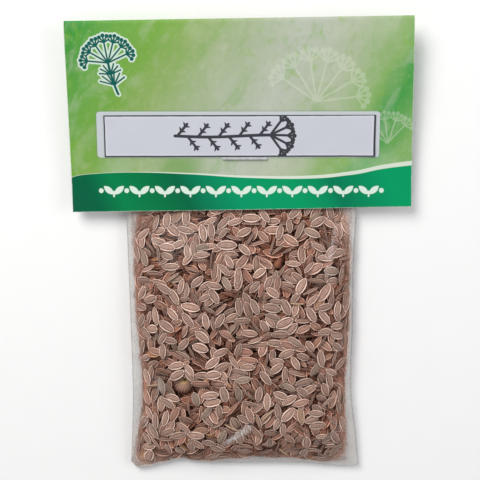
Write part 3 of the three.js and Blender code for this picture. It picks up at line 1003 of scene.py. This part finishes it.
def round_seed_finish():
    f = Finish("round ribbed seed")
    rib, upper, edge = f.split(f.attribute("place"))
    cloud = f.noise(f.place(), 1.1, detail=3)
    # Darker towards the lower pole and lighter on the upper side, where the lamp falls: painted shade. The
    # paler ribs are the seed's own colour, made paler still on the upper side as painted light.
    brown = f.mix(f.step(upper + (cloud - 0.5) * 0.4, -0.2, 0.85), (112, 70, 60), (158, 118, 100))
    brown = f.painted(
        brown,
        (f.step(rib, 0.6, 0.95) * f.step(upper, -0.1, 0.6, 0.25, 0.75), (196, 158, 138)),
        (f.step(upper + (cloud - 0.5) * 0.2, 0.84, 0.95), (204, 168, 120)),
        (f.step(upper, 0.988, 0.997), (66, 34, 18)),
        (f.step(edge + (cloud - 0.5) * 0.1, 0.78, 0.86), (214, 176, 146)),
    )
    return f.surface(Base_Color=brown, Roughness=0.55, Normal=f.bump(cloud, 0.08))


def make_round_seed():
    """A small ball with fine ribs from pole to pole, lying with its stalk end up and to the right."""
    low, high = (np.array(corner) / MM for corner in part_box("stray_round_seed"))
    centre = (low + high) / 2
    radius = (high - low).min() / 2
    rows = 40
    columns = ROUND_RIBS * 8
    polar = np.linspace(0, math.pi, rows + 2)[1:-1]
    turn = np.arange(columns) * math.tau / columns
    polar, turn = np.meshgrid(polar, turn, indexing="ij")
    rib = 0.5 + 0.5 * np.cos(ROUND_RIBS * turn + 0.9 * np.sin(polar * 7))
    reach = radius * (1 - 0.045 * (1 - rib**0.7) * np.sin(polar) - 0.05 * (1 - np.sin(polar)))
    tilt = np.array(Vector(ROUND_POLE).to_track_quat("Z", "Y").to_matrix())
    ball = np.stack((np.sin(polar) * np.cos(turn), np.sin(polar) * np.sin(turn), np.cos(polar)), -1) @ tilt.T
    edge = ball @ np.array((0.98, 0.2, 0.0))
    places = np.stack((rib, np.cos(polar), edge), -1).reshape(-1, 3)
    points = (ball * reach[..., None]).reshape(-1, 3) + centre
    poles = np.array([(0, 0, 0.93), (0, 0, -0.93)]) * radius @ tilt.T + centre
    faces = ball_faces(rows, columns, 0, (rows * columns, rows * columns + 1))
    points = np.vstack((points, poles))
    places = np.vstack((places, ((0, 1, 0), (0, -1, 0))))
    piece = make_object("round_seed", points, faces, [round_seed_finish()], attributes={"place": places})
    ride(piece, "round_seed", "stray_round_seed")


# The film

FILM_THICKNESS = 0.06
FILM_WIDTH = 62
FILM_COLUMNS = 78
BOTTOM_CORNERS = (-32.0, 31.3)
HIDDEN_SHARE = 0.36
HIDDEN_ROWS = 15
SEEN_ROWS = 92
FILM_RANDOM_SEED = 7
# Creases in the front film: start, end, strength and half width. Each is a real ridge in the film with a
# painted whitish glint along it.
CREASES_AND_GLINTS = (
    ((-6.5, -52.6), (1.8, -46.0), 0.9, 0.6),
    ((-24.2, -33.0), (-22.3, -37.5), 0.22, 1.4),
    ((-26.0, 9.0), (-21.5, -4.0), 0.12, 0.45),
    ((25.5, 9.5), (22.0, -6.5), 0.12, 0.45),
    ((-29.5, -44.0), (-22.5, -50.5), 0.15, 0.45),
    ((28.0, -47.0), (20.5, -53.0), 0.2, 0.45),
    ((27.5, -20.0), (24.0, -31.0), 0.12, 0.45),
)


def film_finish():
    """Thin clear film: nearly unseen over the seeds, greyer where two layers lie together, partly the doubled
    film's haze and partly painted shade.
    """
    f = Finish("clear film")
    doubled = f.attribute("doubled", out="Fac")
    crease = f.attribute("crease", out="Fac")
    spot = f.place()
    haze = f.noise(spot, 5.0, detail=3)
    scuff = f.noise(spot, 1.3, detail=2)
    # Where two layers lie together the film is painted grey and cloudier: partly real haze, partly painted
    # shade.
    grey = f.mix(f.step(haze, 0.35, 0.65), (216, 212, 209), (227, 224, 221))
    colour = f.mix(doubled, (240, 240, 240), grey)
    # Along the creases the film is painted whiter, more opaque and less metallic: a painted glint.
    colour = f.mix(crease, colour, (246, 244, 242))
    net = f.noise(spot, 0.7, detail=2)
    alpha = 0.002 + f.step(haze, 0.45, 0.75) * 0.002 + doubled * 0.3
    alpha = alpha + crease * f.step(net, 0.35, 0.65, 0.15, 0.7)
    return f.surface(
        Base_Color=colour, Metallic=1 - f.step(doubled + crease, 0.0, 0.3),
        Roughness=f.span(scuff, 0.3, 0.7, 0.1, 0.2), Specular_IOR_Level=0.6,
        Alpha=alpha, Normal=f.bump(scuff, 0.03),
    )


def film_grid():
    """Shares across the film, and its places across and down, in rows that are finer at the bottom."""
    share = np.linspace(0, 1, FILM_COLUMNS)
    share = lerp(share, 0.5 - 0.5 * np.cos(math.pi * share), 0.45)[None, :]
    hidden = np.linspace(0, HIDDEN_SHARE, HIDDEN_ROWS + 1)[:-1]
    seen = lerp(HIDDEN_SHARE, 1, 1 - (1 - np.linspace(0, 1, SEEN_ROWS)) ** 1.12)
    step_down = np.concatenate((hidden, seen))[:, None]
    down = lerp(MOUTH_DOWN, bottom_edge(lerp(*BOTTOM_CORNERS, share)), step_down)
    for _ in range(2):
        x = lerp(left_edge(down), right_edge(down), share)
        down = lerp(MOUTH_DOWN, bottom_edge(x), step_down)
    return share, x, down


# How strongly each place lies on a crease: the height of its ridge and the strength of its painted glint.
def crease_and_glint_strength(x, y):
    crease = np.zeros_like(x)
    for start, end, strength, half_width in CREASES_AND_GLINTS:
        off, where = distance_to_line(x, y, start, end)
        ridge = np.exp(-((off / half_width) ** 2)) * np.sin(math.pi * np.clip(where, 0.02, 0.98)) ** 0.6
        crease = np.maximum(crease, ridge * strength)
    return crease


def looped(front_values, back_values):
    """Values round the tube: across its front, then back again across its back."""
    return np.concatenate((front_values, back_values[:, -2:0:-1]), axis=1)


def pouch_faces(rows, around):
    """Faces of a tube that is closed at its last row, where the front meets the back."""
    faces = grid_faces(rows, around, wrap=True)
    low = (rows - 1) * around
    for column in range(around // 2):
        under = low + (around - column) % around
        after = low + around - column - 1
        faces.append(tuple(dict.fromkeys((low + column, low + column + 1, after, under))))
    return faces


def make_film():
    """A flat tube of film, open at its mouth in the card, its walls a hair thick."""
    rng = np.random.default_rng(FILM_RANDOM_SEED)
    share, x, down = film_grid()
    y = STAPLE_LINE - down
    back, front = film_faces(x, down)
    rim = smoothstep(np.minimum(np.minimum(share, 1 - share) * FILM_WIDTH, bottom_edge(x) - down), 0, 0.9)
    inside_card = smoothstep(down, 10, 16)
    # The creases raise ridges in the front film and carry a painted glint in its finish.
    crease = crease_and_glint_strength(x, y)
    sheets = []
    for heights, way in ((front, 1), (back, -1)):
        dents = 0.5 + 0.28 * ripples(x, y, rng, 4.2) + 0.22 * ripples(x, y, rng, 1.9)
        dents = np.clip(dents - (crease * 0.8 if way > 0 else 0), 0, 1) * inside_card * rim
        wall = heights + way * (FILM_ROOM - 0.02 - 0.17 * dents) * rim
        seam = (front + back) / 2 + way * 0.015
        sheets.append(np.where(rim < 1e-6, seam, wall))
    loops = looped(*(np.stack((x, y, z), -1) for z in sheets))
    for side, column in ((0, 0), (-1, FILM_COLUMNS - 1)):
        loops[:, column, 2] = (sheets[0][:, side] + sheets[1][:, side]) / 2
    doubled = 1 - smoothstep(front - back, 0.4, 1.8)
    doubled = np.maximum(doubled * inside_card, 0.15 * (1 - rim))
    marks = {"doubled": looped(doubled, doubled).ravel(), "crease": looped(crease, crease * 0).ravel()}
    faces = pouch_faces(*loops.shape[:2])
    film = make_object("film_bag", loops.reshape(-1, 3), faces, [film_finish()], attributes=marks)
    wall = film.modifiers.new("wall", "SOLIDIFY")
    wall.thickness = FILM_THICKNESS * MM
    wall.offset = -1
    apply_modifier(film, wall)
    ride(film, "clear_film", "bag")


# The header card

PRINT_TURN = math.radians(-0.9)
PANEL_CENTRE = (-0.8, 6.3)
PANEL_SIZE = (74.2, 12.25)
PANEL_CORNER = 0.9
LEAFY_HEAD_CENTRE = (-34.4, 25.1)
WAVE_REACH = (-6.0, -1.0)
WAVE = (
    (-45, -5.2), (-36, -3.95), (-27, -3.8), (-15, -4.2), (4, -5.3), (17, -5.45), (28, -4.6), (38, -2.8),
    (45, -1.95),
)
FRIEZE_LEVEL = -8.6
FRIEZE_SCALE = 1.35
FRIEZE_HALF = 37.75
SHEET_SCALE = 100.0


def card_half_gap(x, y):
    """Half the gap between the two panels at a place on the card."""
    wide = np.clip(-y / STAPLE_TO_EDGE, 0, 1) ** 1.5 * (1 - SIDE_CLOSING * (2 * x / CARD_WIDTH) ** 2)
    opened = lerp(NECK_HALF_GAP, LOWER_HALF_GAP, wide)
    return lerp(opened, FOLD_HALF_GAP, smoothstep(y, GAP_CLOSES_AT, STAPLE_TO_FOLD))


def sheet_wave(x, y):
    """A card is never quite flat: a slow wave of a few hundredths of a millimetre, still at the staple."""
    wave = 0.05 * np.sin(x * 0.11 + 0.6) * np.cos(y * 0.09 - 0.4) + 0.03 * np.sin(x * 0.23 + y * 0.17)
    return wave * smoothstep(np.hypot(x, y), 8, 26) * smoothstep(STAPLE_TO_FOLD - y, 2, 12)


def card_to_packet(x, y, z):
    """Card places, measured from the staple line along the raised card, as places on the packet."""
    return np.stack(
        (
            x + 0 * y,
            STAPLE_LINE + y * math.cos(CARD_RISE) - z * math.sin(CARD_RISE),
            NECK_HEIGHT + y * math.sin(CARD_RISE) + z * math.cos(CARD_RISE),
        ),
        -1,
    )


def turned(x, y, centre, degrees):
    """Places measured ahead and aside of a centre; ahead is up, turned to the right by some degrees."""
    return swung(y - centre[1], x - centre[0], math.radians(degrees))


def stroke(f, along, across, length, start=0.0):
    """Distance from a straight stroke that runs from start to length."""
    past = f.greater(f.greater(along - length, start - along), 0)
    return f.distance(past, across)


def fan(f, ahead, aside, pitch, count):
    """Places along and across the nearest ray of a fan with count rays on each side of the middle one."""
    pitch = math.radians(pitch)
    angle = f.maths("ARCTAN2", aside, ahead)
    ray = f.greater(f.lesser(f.maths("ROUND", angle / pitch), count), -count)
    turn = angle - ray * pitch
    radius = f.distance(ahead, aside)
    return radius * f.maths("COSINE", turn), radius * f.maths("SINE", turn)


def umbel(f, ahead, aside, rays, reach, small_rays, small_reach, dot, line):
    """Distance from a dill head seen from its side: a fan of rays with a small fan of dots on each."""
    along, across = fan(f, ahead, aside, *rays)
    near, off = fan(f, along - reach, across, *small_rays)
    lines = f.lesser(stroke(f, along, across, reach), stroke(f, near, off, small_reach)) - line
    near = near - small_reach
    return f.lesser(lines, f.distance(near, off) - dot)


def sprig(f, ahead, aside, stem, line):
    """Distance from a bent stem below a dill head, with thread-like leaves on both sides."""
    bent = aside - ahead * ahead * 0.014
    shape = stroke(f, ahead, bent, 0, -stem) - line * 1.25
    for share, length, lean in ((0.36, 0.34, 52), (0.7, 0.42, 40)):
        up, across = swung(ahead + stem * share, abs(bent), math.radians(lean))
        along, off = fan(f, up, across, 24, 1)
        shape = f.lesser(shape, stroke(f, along, off, stem * length) - line * 0.8)
    return shape


def rounded_box(f, x, y, centre, size, corner):
    """Distance from a box with round corners, less than nothing inside it."""
    off_x = f.greater(abs(x - centre[0]) - (size[0] / 2 - corner), 0)
    off_y = f.greater(abs(y - centre[1]) - (size[1] / 2 - corner), 0)
    return f.distance(off_x, off_y) - corner


# Soft pools in the wash: where, how far they reach, how strong, and their colour
WASH_POOLS = (
    ((-16.0, -2.5), 9.0, 0.7, (112, 160, 80)),
    ((-32.5, -2.5), 7.0, 0.35, (172, 196, 176)),
    ((34.0, -1.0), 10.0, 0.36, (176, 204, 166)),
)


def wash(f, x, y):
    """A soft green watercolour wash, deep at both sides and pale in the middle, slanting up to the right."""
    slant = x - 0.52 * y
    climb = y + 0.52 * x
    drift = f.noise(f.join(slant, climb * 0.6), 13.0, detail=3, roughness=0.6, distortion=0.5)
    colour = f.ramp(
        slant + (drift - 0.5) * 10, -66, 46,
        [
            (-63, (38, 142, 55)), (-51, (104, 164, 72)), (-40, (121, 168, 72)),
            (-30, (146, 174, 104)), (-20, (162, 180, 138)), (0, (186, 192, 178)),
            (14, (176, 188, 158)), (26, (143, 179, 113)), (32.5, (70, 156, 74)),
            (41, (128, 175, 100)),
        ],
    )
    streak = f.noise(f.join(slant, climb * 0.45, 3.0), 5.0, detail=3, roughness=0.55, distortion=0.4)
    blot = f.noise(f.join(x, y * 0.8, 7.0), 6.0, detail=5, roughness=0.64, distortion=1.1)
    mist = f.noise(f.join(x, y, 40.0), 1.5, detail=4, roughness=0.6)
    colour = f.painted(
        colour,
        (f.step(streak, 0.5, 0.72) * 0.26, (196, 202, 182)),
        (f.step(streak, 0.48, 0.32) * 0.3, (118, 170, 72)),
        (f.step(blot, 0.56, 0.72) * 0.42, (132, 178, 62)),
        (f.step(mist, 0.52, 0.75) * 0.16, (92, 160, 92)),
        (f.step(mist, 0.48, 0.26) * 0.16, (198, 206, 176)),
    )
    for (pool_x, pool_y), reach, strength, tone in WASH_POOLS:
        off = f.distance(x - pool_x, (y - pool_y) * 1.7) + (blot - 0.5) * 6
        colour = f.mix(f.step(off, reach, reach * 0.2) * strength, colour, tone)
    return colour


def leaf_frieze(f, x, y):
    """A row of small paired leaves with a dot between pairs, as a distance in millimetres."""
    x = x / FRIEZE_SCALE
    y = y / FRIEZE_SCALE
    pitch = 5.0
    pair = f.wrapped(x, pitch / 2)
    aside = abs(pair)
    along, across = swung(aside - 1.02, y - 0.1, math.radians(40))
    bow = 1.6
    off = abs(across) + (bow - 0.56)
    leaf = f.distance(along, off) - bow
    spine = stroke(f, y, pair, -0.2, -1.1) - 0.17
    gap = pitch / 2 - aside
    dot = f.distance(gap, y) - 0.46
    return f.lesser(f.lesser(leaf, spine), dot) * FRIEZE_SCALE


def faint_heads(f, x, y):
    """Distance from the two large, faint dill heads on the right."""
    ahead, aside = turned(x, y, (19.5, 15.0), 14)
    large = umbel(f, ahead, aside, (23, 3), 10.5, (30, 2), 3.2, 0.75, 0.22)
    ahead, aside = turned(x, y, (38.5, 4.0), -8)
    return f.lesser(large, umbel(f, ahead, aside, (25, 2), 6.2, (34, 2), 2.0, 0.5, 0.17))


def leafy_head(f, x, y):
    """Distance from the small dill head with a leafy stem on the left."""
    ahead, aside = turned(x, y, LEAFY_HEAD_CENTRE, -10)
    head = umbel(f, ahead, aside, (25, 3), 5.3, (34, 2), 1.8, 0.5, 0.2)
    return f.lesser(head, sprig(f, ahead, aside, 8.4, 0.24))


def above_wave(f, x, y):
    """How far a place lies above the waved edge of the dark band."""
    half = CARD_WIDTH / 2
    low, high = WAVE_REACH
    bends = [((at + half) / CARD_WIDTH, (level - low) / (high - low)) for at, level in WAVE]
    across = {"Factor": 1.0, "Value": (x + half) / CARD_WIDTH}
    wave = f.node("ShaderNodeFloatCurve", {"bends": bends}, across)
    return y - f.span(wave, 0, 1, low, high)


def edge_highlight_and_fold_wear(f, x, y):
    """How pale the print is painted: a painted highlight along the sheet's cut edges, and a little wear along
    its fold.
    """
    fold = f.step(abs(y - STAPLE_TO_FOLD), 0.8, 0.1) * 0.25
    edge = f.greater(abs(x) - CARD_WIDTH / 2, -STAPLE_TO_EDGE - y)
    ragged_noise = f.noise(f.join(x, y, 3.0), 0.9, detail=4)
    return f.greater(f.step(edge + (ragged_noise - 0.5) * 0.3, -0.14, -0.02) * 0.6, fold * f.step(ragged_noise, 0.58, 0.8))


def print_finish():
    """Satin coated print: the wash, a dark wave along the lower edge, and plain ornaments."""
    f = Finish("printed card")
    cut_x, cut_y, front = f.sheet_place()
    x, y = swung(cut_x, cut_y, PRINT_TURN)
    head = leafy_head(f, x, y)
    above = above_wave(f, x, y)
    line = f.span(x, -30, 45, 0.1, 1.2)
    band = f.ramp(
        x + 0.5 * y, -52, 40,
        [
            (-52, (8, 94, 66)), (-44, (0, 98, 65)), (-37, (0, 127, 74)), (-29, (0, 117, 68)),
            (-20, (0, 102, 65)), (-15, (0, 122, 84)), (-6, (0, 148, 100)), (10, (0, 152, 97)),
            (17, (0, 140, 92)), (21, (0, 121, 84)), (27, (0, 135, 90)), (36, (0, 154, 98)),
        ],
    )
    leaves = f.step(leaf_frieze(f, x, y - FRIEZE_LEVEL), 0.1, -0.08) * (abs(x) < FRIEZE_HALF)
    panel = rounded_box(f, x, y, PANEL_CENTRE, PANEL_SIZE, PANEL_CORNER)
    colour = f.painted(
        wash(f, x, y),
        (f.step(faint_heads(f, x, y), 0.12, -0.05) * 0.3 * front, (214, 224, 202)),
        (f.step(head, 0.52, 0.36) * front, (206, 224, 210)),
        (f.step(head, 0.09, -0.06) * front, (12, 92, 84)),
        (f.step(above - line, 0.08, -0.08) * 0.9, (222, 230, 218)),
        (f.step(above, 0.07, -0.07), band),
        (leaves * front, (218, 234, 222)),
        (f.step(abs(panel), 0.55, 0.0) * 0.35 * front, (120, 140, 118)),
        (f.step(panel, 0.06, -0.1) * front, (199, 205, 209)),
        # A painted highlight along the cut edges, and real wear at the fold.
        (edge_highlight_and_fold_wear(f, cut_x, cut_y), (222, 226, 214)),
    )
    fibre = f.noise(f.join(cut_x, cut_y, 9.0), 0.35, detail=3)
    return f.surface(
        Base_Color=colour, Roughness=f.span(fibre, 0.3, 0.7, 0.38, 0.5), Specular_IOR_Level=0.1,
        Normal=f.bump(fibre, 0.012),
    )


def bare_card_finish():
    f = Finish("bare card")
    fibre = f.noise(f.place(), 0.3, detail=4)
    colour = f.mix(fibre, (226, 226, 220), (240, 240, 236))
    return f.surface(Base_Color=colour, Roughness=0.8, Specular_IOR_Level=0.3, Normal=f.bump(fibre, 0.03))


def make_card():
    """One sheet folded over the bag's mouth: front panel, fold and back panel, printed on the outside."""
    across = np.linspace(-CARD_WIDTH / 2, CARD_WIDTH / 2, 91)
    fold_y = STAPLE_TO_FOLD - FOLD_REACH
    panel = np.linspace(-STAPLE_TO_EDGE, fold_y, 51)
    arc = np.linspace(math.pi / 2, -math.pi / 2, 11)[1:-1]

    def skin(inset):
        """The sheet's outer face, or with an inset its inner face, from the front edge over the fold."""
        rows = []
        extra = CARD_THICKNESS - inset
        for y in panel:
            rows.append((y, card_half_gap(across, y) + extra + sheet_wave(across, y), y, 1))
        for turn in arc:
            reach = (FOLD_REACH - inset) * math.cos(turn)
            height = (card_half_gap(across, fold_y) + extra) * math.sin(turn)
            unrolled = STAPLE_TO_FOLD - FOLD_REACH * (1 - math.cos(turn))
            rows.append((fold_y + reach, height, unrolled, turn > 0))
        for y in panel[::-1]:
            rows.append((y, -card_half_gap(across, y) - extra, y, 0))
        points = np.array([card_to_packet(across, np.full_like(across, y), z) for y, z, _, _ in rows])
        sheet = np.array([np.stack((across, 0 * across + s, 0 * across + k), -1) for _, _, s, k in rows])
        return points, sheet

    outer, sheet = skin(0.0)
    inner, _ = skin(CARD_THICKNESS)
    points, faces = thin_sheet(outer, inner)
    printed = (outer.shape[0] - 1) * (outer.shape[1] - 1)
    finish_of = [0] * printed + [1] * (len(faces) - printed)
    sheet = np.tile(sheet.reshape(-1, 3), (2, 1)) / SHEET_SCALE
    finishes = [print_finish(), bare_card_finish()]
    card = make_object("header_card_print", points, faces, finishes, finish_of, {"sheet": sheet})
    crisp_edges(card)
    ride(card, "printed_card", "header_card")


# The paper slip

SLIP_THICKNESS = 0.12
SLIP_GLUE = 0.08
SLIP_BORDER = 0.3


def feathery_leaves(f, x, y, start, end):
    """Leaves in turn on each side of a stem along x, each a thread with short barbs."""
    pitch = 5.4
    place = f.wrapped(x - start - pitch * 0.4 - (y < 0) * pitch / 2, pitch / 2) + pitch * 0.38
    along, across = swung(place, abs(y), math.radians(52))
    leaf = stroke(f, along, across, 4.2) - 0.36
    barb = swung(f.wrapped(along - 1.5, 0.85), abs(across), math.radians(45))
    barbs = stroke(f, *barb, 1.35) - 0.25
    barbs = barbs + f.step(abs(along - 2.85), 1.75, 1.8) * 9
    root = x - place
    outside = f.greater(start - root, root - end)
    return f.lesser(leaf, barbs) + f.step(outside, 0.0, 0.2) * 9


def dill_drawing(f, x, y):
    """A bold line drawing of a dill stem lying along x, with its head to the right."""
    y = y - 0.25 * f.maths("SINE", x * 0.2)
    stem = stroke(f, x, y, 8.0, -17.0) - 0.42
    head = umbel(f, x - 8.0, y, (27, 2), 4.6, (38, 1), 1.7, 0.62, 0.34)
    return f.lesser(f.lesser(stem, head), feathery_leaves(f, x, y, -16.5, 6.5))


def slip_finish():
    """Plain printer paper with a thin black frame at its edges and a bold line drawing."""
    f = Finish("paper slip")
    x, y, face = f.sheet_place()
    cloud = f.noise(f.join(x, y), 7.0, detail=2)
    fibre = f.noise(f.join(x, y, 5.0), 0.25, detail=3)
    paper = f.mix(cloud, (200, 202, 213), (205, 207, 217))
    side_rim = abs(x) - SLIP_WIDTH / 2 + (x > 0) * 0.16
    rim = f.greater(side_rim, abs(y) - SLIP_HEIGHT / 2 - (y > 0) * f.span(x, 0, 34, 0, 0.14))
    paper = f.mix(f.step(rim, -1.1, -0.5) * 0.4, paper, (222, 224, 229))
    uneven = (f.noise(f.join(x, y, 11.0), 3.0) - 0.5) * 0.12
    border = f.step(rim + uneven, -SLIP_BORDER - 0.1, -SLIP_BORDER + 0.02)
    drawing = f.step(dill_drawing(f, x, y) + uneven * 0.5, 0.06, -0.08)
    ink = f.greater(border, drawing) * face
    colour = f.mix(ink * 0.96, paper, (36, 37, 46))
    return f.surface(
        Base_Color=colour, Roughness=f.span(ink, 0, 1, 0.8, 0.5), Specular_IOR_Level=0.3,
        Normal=f.bump(fibre, 0.012),
    )


def make_slip():
    """The slip follows the card's face, with a slight cockle from its paste and a lifted corner."""
    u, v = np.meshgrid(np.linspace(-0.5, 0.5, 86), np.linspace(-0.5, 0.5, 16))
    local_x = u * SLIP_WIDTH
    local_y = v * SLIP_HEIGHT
    x, y = (place + off for place, off in zip(SLIP_PLACE, swung(local_x, local_y, -SLIP_TURN)))
    face = card_half_gap(x, y) + CARD_THICKNESS + sheet_wave(x, y)
    cockle = 0.03 * (1 + np.sin(local_x * 0.42 + 1.1) * np.cos(local_y * 0.5))
    corner = 0.22 * smoothstep(local_x, 27, 36) * smoothstep(-local_y, 1.5, 5.5)
    corner += 0.16 * smoothstep(-local_x, 29, 36) * smoothstep(local_y, 1.5, 5.5)
    still = smoothstep(np.abs(x - 0.9), 6.5, 11)
    lift = SLIP_GLUE + (cockle + corner) * still
    upper = card_to_packet(x, y, face + lift + SLIP_THICKNESS)
    points, faces = thin_sheet(upper, card_to_packet(x, y, face + lift))
    sheet = np.stack((local_x, local_y, np.ones_like(local_x)), -1).reshape(-1, 3)
    sheet = np.concatenate((sheet, sheet * (1, 1, 0))) / SHEET_SCALE
    slip = make_object("paper_slip", points, faces, [slip_finish()], attributes={"sheet": sheet})
    crisp_edges(slip)
    ride(slip, "slip_paper", "name_slip")


# The staple


def staple_finish():
    """Zinc plated wire, drawn lengthwise."""
    f = Finish("zinc wire")
    x, y, z = f.split(f.place())
    drawn = f.noise(f.join(x * 0.3, y * 6, z * 6), 1.0, detail=3)
    dull = f.noise(f.join(x, y, z), 1.4, detail=3)
    colour = f.mix(f.step(dull, 0.35, 0.7), (232, 233, 236), (206, 208, 212))
    return f.surface(
        Base_Color=colour, Metallic=0.6, Roughness=f.span(drawn, 0.3, 0.7, 0.3, 0.5),
        Normal=f.bump(drawn, 0.01),
    )


def dress_staple():
    staple = frame["nodes"]["staple"]
    staple.data.materials.clear()
    staple.data.materials.append(staple_finish())


set_camera()
set_light()
lay_floor()
make_seeds()
make_round_seed()
make_film()
make_card()
make_slip()
dress_staple()
